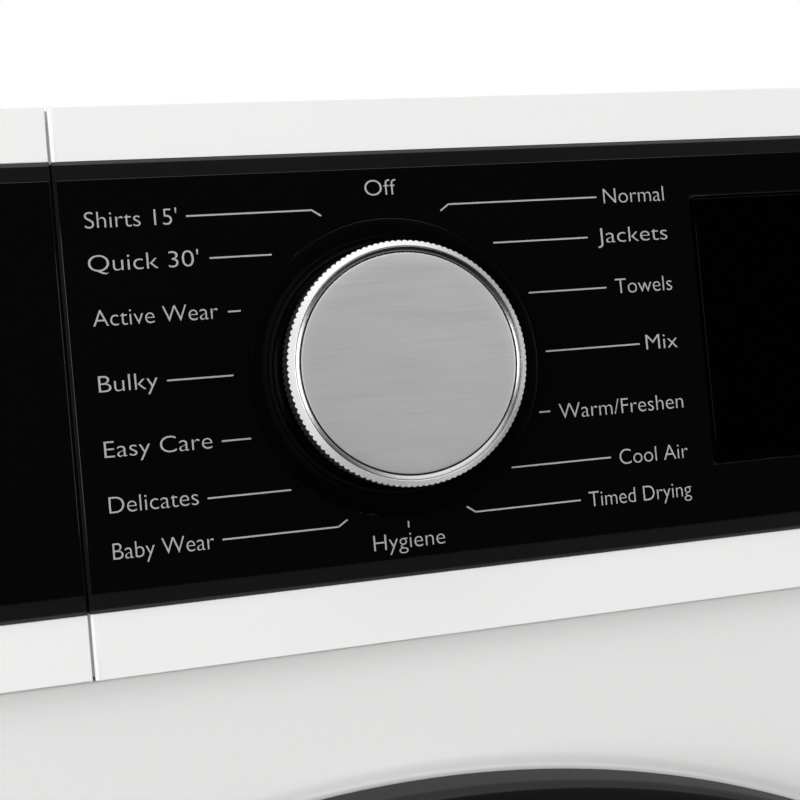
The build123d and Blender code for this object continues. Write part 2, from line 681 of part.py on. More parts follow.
def drum_seals():
    """The two felt rings that the drum's ends rub on."""
    front = tube_y(0, DRUM_Z, NECK_R - 4, NECK_R - 24, BULKHEAD_Y + BULKHEAD_T, DRUM_FRONT - TOUCH_GAP)
    rear = tube_y(0, DRUM_Z, DRUM_R - 2, DRUM_R - 18, DRUM_BACK + TOUCH_GAP, REAR_BULKHEAD_Y)
    return Compound(children=[front, rear])


def roller_places():
    """The centres of the two support rollers under the drum's neck."""
    reach = NECK_R + ROLLER_R + TOUCH_GAP
    across = reach * sin(radians(ROLLER_ANGLE))
    height = DRUM_Z - reach * cos(radians(ROLLER_ANGLE))
    return (-across, height), (across, height)


def support_roller(place):
    """A rubber-tyred roller with its bore."""
    y0 = DRUM_FRONT + 5
    wheel = tube_y(*place, ROLLER_R, AXLE_R + RUN_CLEAR, y0, y0 + ROLLER_W)
    groove = tube_y(*place, ROLLER_R - 8, AXLE_R + 5, y0 - 1, y0 + 3)
    return wheel - groove


def roller_axles():
    """The two fixed pins that the rollers turn on, with their clips."""
    y0 = DRUM_FRONT + 5
    pins = []
    for place in roller_places():
        pin = rod_y(*place, AXLE_R, BULKHEAD_Y + BULKHEAD_T, y0 + ROLLER_W + 6)
        pins.append(pin + rod_y(*place, AXLE_R + 3, y0 + ROLLER_W + 2, y0 + ROLLER_W + 4))
    return Compound(children=pins)


def chute(half_w, y0, y1):
    """The air chute below the door's mouth."""
    low = DOOR_Z - MOUTH_R
    return block(-half_w, half_w, y0, y1, low - FILTER_DROP - 35, low + 30)


def front_bulkhead():
    """The front support: plate, mouth collar with its flange, and the air chute below it."""
    rear = BULKHEAD_Y + BULKHEAD_T
    body = block(-INNER_HALF_W, INNER_HALF_W, BULKHEAD_Y, rear, BULKHEAD_Z, BULKHEAD_TOP)
    body += chute(CHUTE_HALF_W + PLASTIC, FLANGE_Y + 1, BULKHEAD_Y + 1)
    body -= chute(CHUTE_HALF_W, FLANGE_Y + 4, BULKHEAD_Y)
    body += rod_y(0, DOOR_Z, MOUTH_R + PLASTIC, FLANGE_Y, rear)
    body += rod_y(0, DOOR_Z, PANEL_HOLE_R - 2, FLANGE_Y, FLANGE_Y + 2)
    body -= rod_y(0, DOOR_Z, MOUTH_R, FLANGE_Y - 1, rear + 1)
    body -= hook_box(4, FLANGE_Y - 1, FLANGE_Y + 3)
    return body - filter_slot(1, DOOR_Z - MOUTH_R - FILTER_DROP)


def filter_slot(gap, bottom):
    """The space of the lint filter in the chute, grown by a gap."""
    y0, y1 = FLANGE_Y + 11, FLANGE_Y + 27
    half = FILTER_HALF_W + gap
    return block(-half, half, y0 - gap, y1 + gap, bottom - gap, DOOR_Z - MOUTH_R + 30)


def lint_filter():
    """The lift-out lint filter, whose top follows the mouth."""
    bottom = DOOR_Z - MOUTH_R - FILTER_DROP
    body = filter_slot(0, bottom) - rod_y(0, DOOR_Z, MOUTH_R - 0.5, FLANGE_Y, BULKHEAD_Y)
    half = FILTER_HALF_W - 8
    window = block(-half, half, FLANGE_Y, FLANGE_Y + 30, bottom + 8, DOOR_Z - MOUTH_R - 14)
    return body - window


def moisture_strips():
    """The two bare steel strips that sense damp clothes."""
    strips = []
    for y in (FLANGE_Y + 3, BULKHEAD_Y - 1):
        ring = tube_y(0, DOOR_Z, MOUTH_R - 0.05, MOUTH_R - 1.2, y, y + 4)
        strips.append(ring & block(-72, 72, y - 1, y + 5, DOOR_Z - MOUTH_R - 5, DOOR_Z - 100))
    return Compound(children=strips)


def drum_lamp():
    """The lens of the drum's light, at the top of the mouth."""
    y0 = FLANGE_Y + 14
    ring = tube_y(0, DOOR_Z, MOUTH_R - 0.05, MOUTH_R - 6, y0, y0 + 16)
    return ring & block(-22, 22, y0 - 1, y0 + 17, DOOR_Z + 100, DOOR_Z + MOUTH_R)


def rear_bulkhead():
    """The back support: plate with the bearing's seat, the hot air holes and the fan's outlet."""
    y1 = REAR_BULKHEAD_Y + BULKHEAD_T
    body = block(-INNER_HALF_W, INNER_HALF_W, REAR_BULKHEAD_Y, y1, TRAY_RIM + 2, BULKHEAD_TOP)
    body -= rod_y(0, DRUM_Z, 25.02, REAR_BULKHEAD_Y - 1, y1 + 1)
    for i in range(FAN_HOLE_COUNT):
        angle = 2 * pi * (i + 0.5) / FAN_HOLE_COUNT
        x, z = FAN_HOLE_RING_R * cos(angle), DRUM_Z + FAN_HOLE_RING_R * sin(angle)
        body -= rod_y(x, z, FAN_HOLE_R, REAR_BULKHEAD_Y - 1, y1 + 1)
    return body - fan_outlet(0, REAR_BULKHEAD_Y - 1, y1 + 1)


# ---- Air circuit


def fan_outlet(wall, y0, y1):
    """The fan's outlet to the rear duct, grown by a wall."""
    x0 = MOTOR_X - FAN_R - 12
    return block(x0 - wall, x0 + 33 + wall, y0, y1, MOTOR_Z + 15 - wall, MOTOR_Z + 65 + wall)


def fan_housing():
    """The scroll round the process fan, open at the inlet and at the outlet."""
    y0 = FAN_BACK - FAN_W - 12
    outer = rod_y(MOTOR_X, MOTOR_Z, FAN_R + 9, y0, FAN_BACK) + fan_outlet(PLASTIC, y0 + 8, REAR_BULKHEAD_Y)
    inner = rod_y(MOTOR_X, MOTOR_Z, FAN_R + 6, y0 + PLASTIC, FAN_BACK - PLASTIC)
    inner += fan_outlet(0, y0 + 8 + PLASTIC, REAR_BULKHEAD_Y + 1)
    return outer - inner - rod_y(MOTOR_X, MOTOR_Z, 45, y0 - 1, y0 + PLASTIC + 1)


def heater_duct():
    """The rear duct: a pan that feeds hot air to the holes behind the drum."""
    y0 = REAR_BULKHEAD_Y + BULKHEAD_T
    y1 = CASE_REAR - 3
    z0, z1 = MOTOR_Z - 25, DRUM_Z + 110
    half = DUCT_HALF_W - DUCT_SHEET
    inside = block(-half, half, y0 - 1, y1 - DUCT_SHEET, z0 + DUCT_SHEET, z1 - DUCT_SHEET)
    return block(-DUCT_HALF_W, DUCT_HALF_W, y0, y1, z0, z1) - inside


def heater_element():
    """The heater: bars between two end plates."""
    y = REAR_BULKHEAD_Y + BULKHEAD_T + 28
    z0 = MOTOR_Z + 75
    z1 = z0 + HEATER_BAR_PITCH * HEATER_BAR_COUNT + 4
    half = DUCT_HALF_W - 12
    body = block(-half, half, y - 14, y + 14, z0, z1)
    body -= block(3 - half, half - 3, y - 15, y + 15, z0 - 1, z1 + 1)
    for i in range(HEATER_BAR_COUNT):
        body += rod_x(y, z0 + 12 + HEATER_BAR_PITCH * i, 4, 2 - half, half - 2)
    return body


def condenser():
    """The heat exchanger cartridge, with its rows of passages seen from the front."""
    y1 = CONDENSER_Y + CONDENSER_L
    x1 = CONDENSER_X0 + CONDENSER_W
    body = block(CONDENSER_X0, x1, CONDENSER_Y, y1, CONDENSER_Z, CONDENSER_Z + CONDENSER_H)
    pitch = (CONDENSER_W - CONDENSER_WALL) / PASSAGE_COUNT
    for i in range(PASSAGE_COUNT):
        left = CONDENSER_X0 + CONDENSER_WALL + pitch * i
        body -= block(left, left + pitch - CONDENSER_WALL, CONDENSER_Y + 30, y1 + 1,
                      CONDENSER_Z + CONDENSER_WALL, CONDENSER_Z + CONDENSER_H - CONDENSER_WALL)
    return body - rod_y(*lock_place(), STEM_THREAD_R + RUN_CLEAR, CONDENSER_Y - 1, CONDENSER_Y + 12)


def lock_place():
    """The centre of the condenser's turning lock."""
    return CONDENSER_X0 + CONDENSER_W / 2, CONDENSER_Z + CONDENSER_H / 2


def condenser_lock():
    """The lever that turns to free the condenser."""
    x, z = lock_place()
    lever = rounded_plate(x - 32, x + 32, z - 9, z + 9, CONDENSER_Y - 8, CONDENSER_Y - 1, 8.5)
    return lever + rod_y(x, z, STEM_THREAD_R, CONDENSER_Y - 2, CONDENSER_Y + 10)


def condenser_flap():
    """The flap in the plinth, with its hinge barrel and end pins."""
    flap = block(FLAP_X0, FLAP_X1, FRONT, FRONT + FLAP_T, CASE_Z + PLASTIC, FLAP_TOP)
    flap += block(FLAP_X0 + 4, FLAP_X1 - 4, FRONT + 1, FLAP_HINGE_Y, FLAP_HINGE_Z - 2.5, FLAP_HINGE_Z + 2.5)
    flap += rod_x(FLAP_HINGE_Y, FLAP_HINGE_Z, FLAP_PIN_R, FLAP_X0 - 4, FLAP_X1 + 4)
    x0 = (FLAP_X0 + FLAP_X1 - FLAP_NOTCH_W) / 2
    return flap - block(x0, x0 + FLAP_NOTCH_W, FRONT - 1, FRONT + 1.5, FLAP_TOP - 12, FLAP_TOP + 1)


def drain_pump():
    """The pump that lifts the condensate, with its outlet."""
    x, y = hose_start()
    body = block(x - 45, x + 45, y - 26, y + 26, CASE_Z + PLASTIC, CASE_Z + 34)
    return body + rod_z(x, y, 24, CASE_Z + 33, CASE_Z + 48) + rod_z(x, y, 9, CASE_Z + 47, CASE_Z + 56)


def hose_start():
    """The middle of the pump, where the hose goes up."""
    return (SEAM_X - 8 - INNER_HALF_W) / 2, REAR_BULKHEAD_Y + BULKHEAD_T + 33


def drain_hose():
    """The hose from the pump up to the rear wall of the drawer's shelf."""
    x, y = hose_start()
    low, top = CASE_Z + 56, SHELF_Z + 40
    path = FilletPolyline((x, y, low), (x, y, top), (x, shelf_back(), top), radius=HOSE_BEND_R)
    start = Plane((x, y, low))
    return sweep(start * Circle(HOSE_R), path) - sweep(start * Circle(HOSE_BORE_R), path)


# ---- Drive


def belt_loop(offset):
    """The face inside one side of the belt, offset outwards from the wheels it wraps."""
    wheels = [
        (0.0, DRUM_Z, DRUM_R),
        (IDLER_X, IDLER_Z, -(IDLER_R + TOUCH_GAP + BELT_STACK)),
        (MOTOR_X, MOTOR_Z, PULLEY_R),
    ]
    radii = [radius + offset for _, _, radius in wheels]
    headings = []
    for i, (x, z, _) in enumerate(wheels):
        nx, nz, _ = wheels[(i + 1) % 3]
        gap = hypot(nx - x, nz - z)
        headings.append(atan2(nz - z, nx - x) - asin((radii[(i + 1) % 3] - radii[i]) / gap))
    edges = []
    for i, (x, z, _) in enumerate(wheels):
        before, after = headings[i - 1], headings[i]
        sweep_angle = (after - before) % (2 * pi) if radii[i] > 0 else -((before - after) % (2 * pi))
        start = before - pi / 2
        edges.append(CenterArc((x, z), abs(radii[i]), degrees(start if radii[i] > 0 else start + pi),
                               degrees(sweep_angle)))
        nx, nz, _ = wheels[(i + 1) % 3]
        side = after - pi / 2
        edges.append(Line((x + radii[i] * cos(side), z + radii[i] * sin(side)),
                          (nx + radii[(i + 1) % 3] * cos(side), nz + radii[(i + 1) % 3] * sin(side))))
    return make_face(edges)


def drive_belt():
    """The flat belt round the drum and the motor's pulley, pushed in by the idler."""
    loop = belt_loop(BELT_STACK) - belt_loop(TOUCH_GAP)
    return extrude(Plane.XZ.offset(-BELT_Y - BELT_W) * loop, BELT_W)


def motor_stator():
    """The motor's case: hollow for the rotor, with bearings' bores and a foot on the tray."""
    y1 = MOTOR_Y + MOTOR_L
    case = rod_y(MOTOR_X, MOTOR_Z, MOTOR_R, MOTOR_Y, y1)
    for y in (MOTOR_Y + 20, y1 - 26):
        case += block(MOTOR_X - 45, MOTOR_X + 45, y, y + 6, CASE_Z + PLASTIC, MOTOR_Z - MOTOR_R / 2)
    case -= rod_y(MOTOR_X, MOTOR_Z, ROTOR_R + 1, MOTOR_Y + 12, y1 - 12)
    return case - rod_y(MOTOR_X, MOTOR_Z, MOTOR_SHAFT_R + RUN_CLEAR, MOTOR_Y - 1, y1 + 1)


def motor_rotor():
    """The rotor, its shaft and the belt pulley with its two cheeks."""
    y1 = MOTOR_Y + MOTOR_L
    body = rod_y(MOTOR_X, MOTOR_Z, MOTOR_SHAFT_R, MOTOR_Y - 60, FAN_BACK - 6)
    body += rod_y(MOTOR_X, MOTOR_Z, ROTOR_R, MOTOR_Y + 14, y1 - 14)
    body += rod_y(MOTOR_X, MOTOR_Z, PULLEY_R, BELT_Y - 3, BELT_Y + BELT_W + 3)
    for y in (BELT_Y - 3, BELT_Y + BELT_W + 1):
        body += rod_y(MOTOR_X, MOTOR_Z, PULLEY_R + 3, y, y + 2)
    return body


def bladed_wheel(radius, hub, y0, y1, disc_y, blade_count):
    """A radial fan wheel: a hub, a disc and straight blades."""
    wheel = rod_y(MOTOR_X, MOTOR_Z, hub, y0, y1) + rod_y(MOTOR_X, MOTOR_Z, radius, disc_y, disc_y + 2)
    for i in range(blade_count):
        blade = block(hub - 1, radius, y0, y1, -1, 1)
        wheel += Pos(MOTOR_X, 0, MOTOR_Z) * Rot(0, 360 / blade_count * i, 0) * blade
    return wheel - rod_y(MOTOR_X, MOTOR_Z, MOTOR_SHAFT_R, y0 - 1, y1 + 1)


def motor_fans():
    """The process fan at the rear of the shaft and the cooling fan at its front."""
    y1 = FAN_BACK - 7
    process = bladed_wheel(FAN_R, 14, y1 - FAN_W, y1, y1 - 2, 14)
    y0 = MOTOR_Y - 58
    cooling = bladed_wheel(COOLER_R, 14, y0, y0 + 28, y0 + 26, 10)
    return Compound(children=[process, cooling])


def idler_arm():
    """The arm that presses the idler wheel on the belt, with the wheel's pin."""
    pivot_x = IDLER_X - IDLER_ARM_L
    y0 = BELT_Y + BELT_W + 6
    arm = rounded_plate(pivot_x - 11, IDLER_X + 11, IDLER_Z - 11, IDLER_Z + 11, y0, y0 + 4, 10.9)
    arm -= rod_y(pivot_x, IDLER_Z, IDLER_PIN_R + RUN_CLEAR, y0 - 1, y0 + 5)
    return arm + rod_y(IDLER_X, IDLER_Z, IDLER_PIN_R, BELT_Y - 3, y0 + 1)


def idler_wheel():
    """The plain wheel that runs on the back of the belt."""
    return tube_y(IDLER_X, IDLER_Z, IDLER_R, IDLER_PIN_R + RUN_CLEAR, BELT_Y - 2, BELT_Y + BELT_W + 2)


def idler_spring():
    """The coiled spring on the arm's pivot."""
    y0 = BELT_Y + BELT_W + 11.5
    path = Helix(pitch=2.4, height=7.2, radius=SPRING_R)
    coil = sweep(Pos(SPRING_R, 0, 0) * Rot(90, 0, 0) * Circle(SPRING_WIRE_R), path, is_frenet=True)
    return Pos(IDLER_X - IDLER_ARM_L, y0, IDLER_Z) * Rot(-90, 0, 0) * coil


# ---- Door


def door_ring():
    """The outer ring: side wall, sloping front, finger undercut on the left, hinge knuckle on the right."""
    edge = DOOR_BACK - DOOR_EDGE
    ring = turned(
        0, DOOR_Z,
        (RING_BORE_R, DOOR_BACK), (DOOR_R, DOOR_BACK), (DOOR_R, edge), (DOOR_R - RING_EASE, edge - RING_EASE),
        (RING_BORE_R, edge - RING_RISE),
    )
    low, high = DOOR_Z - DOOR_GRIP_HALF, DOOR_Z + DOOR_GRIP_HALF
    ring -= block(-DOOR_R - 1, DOOR_GRIP_W - DOOR_R, DOOR_BACK - DOOR_GRIP_DEPTH, DOOR_BACK + 1, low, high)
    low, high = DOOR_Z - HINGE_HALF - DOOR_REST_GAP, DOOR_Z + HINGE_HALF + DOOR_REST_GAP
    ring -= block(HINGE_X - 8, DOOR_R + 1, edge - 10, DOOR_BACK + 1, low, high)
    low, high = DOOR_Z - KNUCKLE_HALF, DOOR_Z + KNUCKLE_HALF
    ring += block(HINGE_X - 14, HINGE_X, HINGE_Y, HINGE_Y + 5, low, high)
    ring += rod_z(HINGE_X, HINGE_Y, HINGE_BARREL_R, low, high)
    return ring - rod_z(HINGE_X, HINGE_Y, HINGE_PIN_R + RUN_CLEAR, low - 1, high + 1)


def door_lens():
    """The dark dome that closes the middle of the door."""
    radius = RING_BORE_R - TRIM_GAP
    rim = DOOR_BACK - DOOR_EDGE - LENS_RISE
    height = rim - (FRONT - DOOR_PROUD)
    sphere = (radius ** 2 + height ** 2) / (2 * height)
    centre_y = FRONT - DOOR_PROUD + sphere
    dome = Sphere(sphere) - Sphere(sphere - PLASTIC)
    dome = Pos(0, centre_y, DOOR_Z) * dome
    return dome & rod_y(0, DOOR_Z, radius, FRONT - DOOR_PROUD - 1, rim)


def door_frame():
    """The inner frame that carries the glass bowl and closes the ring from behind."""
    outer = RING_BORE_R - TRIM_GAP
    y0, y1 = DOOR_BACK - FRAME_T, FRONT + 8
    return turned(
        0, DOOR_Z,
        (outer, y0), (outer, y1), (BOWL_R + 3, y1), (BOWL_R + 3, FRONT + 4), (BOWL_R + 23, FRONT + 4),
        (BOWL_R + 23, y0),
    )


def door_glass():
    """The glass bowl: a flange held in the frame, a tapered wall and a flat end."""
    back = FRONT + BOWL_BACK
    flange = FRONT + 4
    return turned(
        0, DOOR_Z,
        (BOWL_R + 22, flange - BOWL_T), (BOWL_R + 22, flange), (BOWL_R, flange), (BOWL_END_R, back), (0, back),
        (0, back - BOWL_T), (BOWL_END_R - BOWL_T, back - BOWL_T), (BOWL_R - BOWL_T, flange - BOWL_T),
    )


def door_gasket():
    """The soft ring that seals the door on the mouth's flange."""
    return tube_y(0, DOOR_Z, MOUTH_R + 12, MOUTH_R + 4, FRONT + 8, FLANGE_Y - TOUCH_GAP)


def hook_box(gap, y0, y1):
    """The latch hook's place at the left of the door, grown by a gap."""
    middle = (RING_BORE_R + MOUTH_R + 12) / 2
    return block(-middle - 3 - gap, 3 + gap - middle, y0, y1, DOOR_Z - 7 - gap, DOOR_Z + 7 + gap)


def door_hook():
    """The latch hook with its nose."""
    tip = FLANGE_Y + 14
    return hook_box(0, FRONT + 8, tip) - hook_box(-2, FLANGE_Y + 4, FLANGE_Y + 9)


def door_lock():
    """The lock behind the flange that takes the hook."""
    body = hook_box(10, FLANGE_Y + 2, BULKHEAD_Y)
    return body - hook_box(4, FLANGE_Y + 1, BULKHEAD_Y - 6)


def door_hinge_bracket():
    """The bracket on the front panel: a plate with two lugs, and the pin through them."""
    bracket = block(HINGE_X - 6, HINGE_X + 6, FRONT - 1.2, FRONT, DOOR_Z - HINGE_HALF, DOOR_Z + HINGE_HALF)
    for low in (DOOR_Z - HINGE_HALF, DOOR_Z + KNUCKLE_HALF + 1):
        high = low + HINGE_HALF - KNUCKLE_HALF - 1
        bracket += block(HINGE_X - 6, HINGE_X + 6, HINGE_Y, FRONT, low, high)
        bracket += rod_z(HINGE_X, HINGE_Y, 6, low, high)
        bracket -= rod_z(HINGE_X, HINGE_Y, HINGE_PIN_R + 0.02, low - 1, high + 1)
    pin = rod_z(HINGE_X, HINGE_Y, HINGE_PIN_R, DOOR_Z - HINGE_HALF, DOOR_Z + HINGE_HALF)
    return Compound(children=[bracket, pin])


left_roller_place, right_roller_place = roller_places()

NODES = {
    "base_tray": base_tray(),
    "left_side_panel": side_panel(),
    "right_side_panel": mirror(side_panel(), Plane.YZ),
    "rear_panel": rear_panel(),
    "worktop": worktop(),
    "front_panel": front_panel(),
    "kick_plate": kick_plate(),
    "levelling_feet": levelling_feet(),
    "casing_screws": casing_screws(),
    "power_inlet": power_inlet(),
    "control_fascia": control_fascia(),
    "fascia_trim": fascia_trim(),
    "display_window": display_window(),
    "dial_collar": dial_collar(),
    "program_dial": program_dial(),
    "control_board": control_board(),
    "drawer_front": drawer_front(),
    "drawer_trim": drawer_trim(),
    "water_tank": water_tank(),
    "drawer_shelf": drawer_shelf(),
    "drum": drum(),
    "drum_lifters": drum_lifters(),
    "drum_shaft": drum_shaft(),
    "rear_bearing": rear_bearing(),
    "drum_seals": drum_seals(),
    "left_support_roller": support_roller(left_roller_place),
    "right_support_roller": support_roller(right_roller_place),
    "roller_axles": roller_axles(),
    "front_bulkhead": front_bulkhead(),
    "rear_bulkhead": rear_bulkhead(),
    "lint_filter": lint_filter(),
    "moisture_strips": moisture_strips(),
    "drum_lamp": drum_lamp(),
    "fan_housing": fan_housing(),
    "heater_duct": heater_duct(),
    "heater_element": heater_element(),
    "condenser": condenser(),
    "condenser_lock": condenser_lock(),
    "condenser_flap": condenser_flap(),
    "drain_pump": drain_pump(),
    "drain_hose": drain_hose(),
    "drive_belt": drive_belt(),
    "motor_stator": motor_stator(),
    "motor_rotor": motor_rotor(),
    "motor_fans": motor_fans(),
    "idler_arm": idler_arm(),
    "idler_wheel": idler_wheel(),
    "idler_spring": idler_spring(),
    "door_ring": door_ring(),
    "door_lens": door_lens(),
    "door_frame": door_frame(),
    "door_glass": door_glass(),
    "door_gasket": door_gasket(),
    "door_hook": door_hook(),
    "door_lock": door_lock(),
    "door_hinge_bracket": door_hinge_bracket(),
    **buttons(),
}

os.makedirs("parts", exist_ok=True)
for name, shape in NODES.items():
    export_step(shape, f"parts/{name}.step")
print(len(NODES), "nodes, height", round(CABINET_H, 1))
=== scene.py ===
"""Looks of a front-loading clothes dryer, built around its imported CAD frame."""

from __future__ import annotations

import json
import logging
import math
from dataclasses import dataclass, field
from enum import Enum
from typing import Any, Callable, Iterable, Sequence

import bmesh
import bpy
from mathutils import Euler, Matrix, Vector

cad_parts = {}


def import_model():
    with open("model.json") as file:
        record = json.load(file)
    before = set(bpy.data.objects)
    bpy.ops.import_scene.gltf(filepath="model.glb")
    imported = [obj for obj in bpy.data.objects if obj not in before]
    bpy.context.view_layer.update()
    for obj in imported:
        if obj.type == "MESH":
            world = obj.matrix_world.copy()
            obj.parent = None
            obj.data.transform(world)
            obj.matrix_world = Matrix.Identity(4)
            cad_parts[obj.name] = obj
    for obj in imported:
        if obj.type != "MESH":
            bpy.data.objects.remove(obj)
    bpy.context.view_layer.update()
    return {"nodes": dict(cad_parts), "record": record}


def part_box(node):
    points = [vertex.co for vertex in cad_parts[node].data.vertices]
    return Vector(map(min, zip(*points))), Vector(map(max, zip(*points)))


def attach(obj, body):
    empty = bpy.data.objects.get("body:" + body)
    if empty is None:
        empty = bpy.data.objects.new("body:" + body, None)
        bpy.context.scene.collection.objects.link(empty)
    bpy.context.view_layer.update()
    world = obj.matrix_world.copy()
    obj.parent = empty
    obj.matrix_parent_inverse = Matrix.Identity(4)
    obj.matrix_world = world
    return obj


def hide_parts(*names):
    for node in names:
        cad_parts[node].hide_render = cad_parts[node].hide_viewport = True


LOG = logging.getLogger("dryer")
MM = 0.001
# A face this large (in square metres) and this square to an axis stays flat beside its rounded edges.
LEVEL_AREA, LEVEL = 4e-6, 0.99999
Point2 = tuple[float, float]


# ---- Finishes


class Surface(Enum):
    """How a finish was made, which decides its fine pattern."""

    MOULDED = "moulded"
    POLISHED = "polished"
    POWDER_COAT = "powder coat"
    BRUSHED_X = "brushed along X"
    TURNED = "turned"
    GALVANISED = "galvanised"
    FELT = "felt"
    RUBBER = "rubber"


def linear(colour: str) -> tuple[float, float, float, float]:
    """Turns an sRGB hex colour such as "#c8c8c8" into linear red, green, blue and alpha.

    Args:
        colour: the sRGB hex colour.

    Returns:
        Its linear values, each from 0 to 1.
    """
    parts = [int(colour[i:i + 2], 16) / 255 for i in (1, 3, 5)]
    rgb = [c / 12.92 if c <= 0.04045 else ((c + 0.055) / 1.055) ** 2.4 for c in parts]
    return rgb[0], rgb[1], rgb[2], 1.0


def add_node(tree: bpy.types.NodeTree, kind: str, settings: dict[str, Any] | None = None,
             links: dict[str | int, Any] | None = None) -> bpy.types.Node:
    """Adds a node, sets its properties, and fills its inputs.

    Args:
        tree: the material's, world's or geometry's tree.
        kind: Blender's node type name.
        settings: the node's own properties.
        links: for each input, by name or number, either an output socket to link or a value.

    Returns:
        The new node.
    """
    made = tree.nodes.new(kind)
    for name, value in (settings or {}).items():
        setattr(made, name, value)
    for name, value in (links or {}).items():
        if isinstance(value, bpy.types.NodeSocket):
            tree.links.new(value, made.inputs[name])
        else:
            made.inputs[name].default_value = value
    return made


@dataclass(frozen=True)
class Finish:
    """One real material and how its surface was made.

    colour is the base sRGB hex, grain_mm the size of its pattern, depth_mm how deep the pattern goes,
    and mottle how far the colour and the roughness wander.
    """

    name: str
    colour: str
    surface: Surface
    roughness: float
    metallic: float = 0.0
    ior: float = 1.5
    sheen: float = 0.0
    transmission: float = 0.0
    grain_mm: float = 1.0
    depth_mm: float = 0.02
    mottle: float = 0.04
    specular: float = 0.5

    def material(self) -> bpy.types.Material:
        """The finish as a material, made once and then shared.

        Returns:
            The material.
        """
        found = bpy.data.materials.get(self.name)
        if found:
            return found
        material = bpy.data.materials.new(self.name)
        material.use_nodes = True
        tree = material.node_tree
        tree.nodes.clear()
        place = add_node(tree, "ShaderNodeTexCoord").outputs["Object"]
        pattern = self._pattern(tree, place)
        broad = add_node(tree, "ShaderNodeTexNoise", links={"Vector": place, "Scale": 14.0, "Detail": 3.0})
        wander = add_node(tree, "ShaderNodeMath", {"operation": "ADD"},
                          {0: pattern, 1: broad.outputs["Fac"]}).outputs[0]
        base = linear(self.colour)
        low = tuple(c * (1 - self.mottle) for c in base[:3]) + (1.0,)
        high = tuple(min(1.0, c * (1 + self.mottle)) for c in base[:3]) + (1.0,)
        tint = add_node(tree, "ShaderNodeMix", {"data_type": "RGBA", "clamp_factor": True},
                        {0: add_node(tree, "ShaderNodeMapRange",
                                     links={0: wander, 1: 0.6, 2: 1.4}).outputs[0],
                         6: low, 7: high})
        gloss = add_node(tree, "ShaderNodeMapRange",
                         links={0: wander, 1: 0.6, 2: 1.4, 3: self.roughness * (1 - self.mottle),
                                4: min(1.0, self.roughness * (1 + 2 * self.mottle))})
        bump = add_node(tree, "ShaderNodeBump", links={"Height": pattern, "Strength": 1.0,
                                                       "Distance": self.depth_mm * MM})
        shader = add_node(tree, "ShaderNodeBsdfPrincipled", links={
            "Base Color": tint.outputs[2], "Roughness": gloss.outputs[0], "Normal": bump.outputs[0],
            "Metallic": self.metallic, "IOR": self.ior, "Specular IOR Level": self.specular,
            "Sheen Weight": self.sheen, "Transmission Weight": self.transmission})
        out = add_node(tree, "ShaderNodeOutputMaterial")
        tree.links.new(shader.outputs[0], out.inputs["Surface"])
        return material

    def _pattern(self, tree: bpy.types.NodeTree, place: bpy.types.NodeSocket) -> bpy.types.NodeSocket:
        """The fine pattern's height, from 0 to 1.

        Args:
            tree: the material's tree.
            place: the output that gives a point's place on the object.

        Returns:
            The output that gives the height.
        """
        scale = 1.0 / (self.grain_mm * MM)
        if self.surface is Surface.GALVANISED:
            cells = add_node(tree, "ShaderNodeTexVoronoi", {"feature": "F1"},
                             {"Vector": place, "Scale": scale})
            return add_node(tree, "ShaderNodeSeparateColor", links={0: cells.outputs["Color"]}).outputs[0]
        stretch = {Surface.BRUSHED_X: (0.02, 1.0, 1.0), Surface.TURNED: (1.0, 0.05, 1.0)}
        if self.surface in stretch:
            place = add_node(tree, "ShaderNodeMapping", links={"Vector": place,
                                                               "Scale": stretch[self.surface]}).outputs[0]
        detail = {Surface.FELT: 8.0, Surface.POWDER_COAT: 1.0, Surface.POLISHED: 0.5}.get(self.surface, 3.0)
        noise = add_node(tree, "ShaderNodeTexNoise", links={"Vector": place, "Scale": scale, "Detail": detail,
                                                            "Roughness": 0.6})
        return noise.outputs["Fac"]


# Powder-coated sheet steel: an even satin white, a shade darker than the plastic, with a faint orange peel.
WHITE_STEEL = Finish("powder_coated_steel", "#e4e4e3", Surface.POWDER_COAT, 0.4, grain_mm=1.6, depth_mm=0.006,
                     mottle=0.012)
# Moulded ABS: a clean white, a little glossier than the sheet, so the two whites part at the seams. Its
# real grain is 0.2 mm, drawn here at 0.8 mm so that it shows.
WHITE_ABS = Finish("moulded_white_abs", "#ededec", Surface.MOULDED, 0.3, grain_mm=0.8, depth_mm=0.003,
                   mottle=0.01)
# Laminate pressed on board: flat white with a slight fleck.
LAMINATE = Finish("pressed_white_laminate", "#ededec", Surface.MOULDED, 0.38, grain_mm=0.5, depth_mm=0.012,
                  mottle=0.015)
# Spark-eroded black ABS: a soft charcoal band that catches light without mirroring anything. The real pits
# are 0.1 mm, drawn at 0.35 mm so that they show.
SATIN_BLACK = Finish("spark_eroded_black_abs", "#131313", Surface.MOULDED, 0.24, grain_mm=0.35,
                     depth_mm=0.012, mottle=0.1, specular=0.35)
# Polished black polycarbonate film: nearly a mirror, so it shows the dark room in front of it.
GLOSS_BLACK = Finish("polished_black_film", "#060606", Surface.POLISHED, 0.06, grain_mm=30.0, depth_mm=0.003,
                     mottle=0.05, specular=0.4)
# Polished black ABS in the collar: deep black with one soft streak of light where it curves.
COLLAR_BLACK = Finish("polished_black_abs", "#020202", Surface.POLISHED, 0.2, grain_mm=20.0, depth_mm=0.003,
                      mottle=0.05, specular=0.5)
# Smoked acrylic: the deepest black of the panel, parted from the film by its edge alone.
SMOKED = Finish("smoked_acrylic", "#010101", Surface.POLISHED, 0.04, ior=1.49, grain_mm=40.0, depth_mm=0.002,
                mottle=0.05, specular=0.3)
# Pad-printed ink: flat mid grey with soft edges, never white.
PRINT = Finish("pad_printed_ink", "#a6a6a6", Surface.MOULDED, 0.7, grain_mm=0.2, depth_mm=0.002, mottle=0.05,
               specular=0.2)
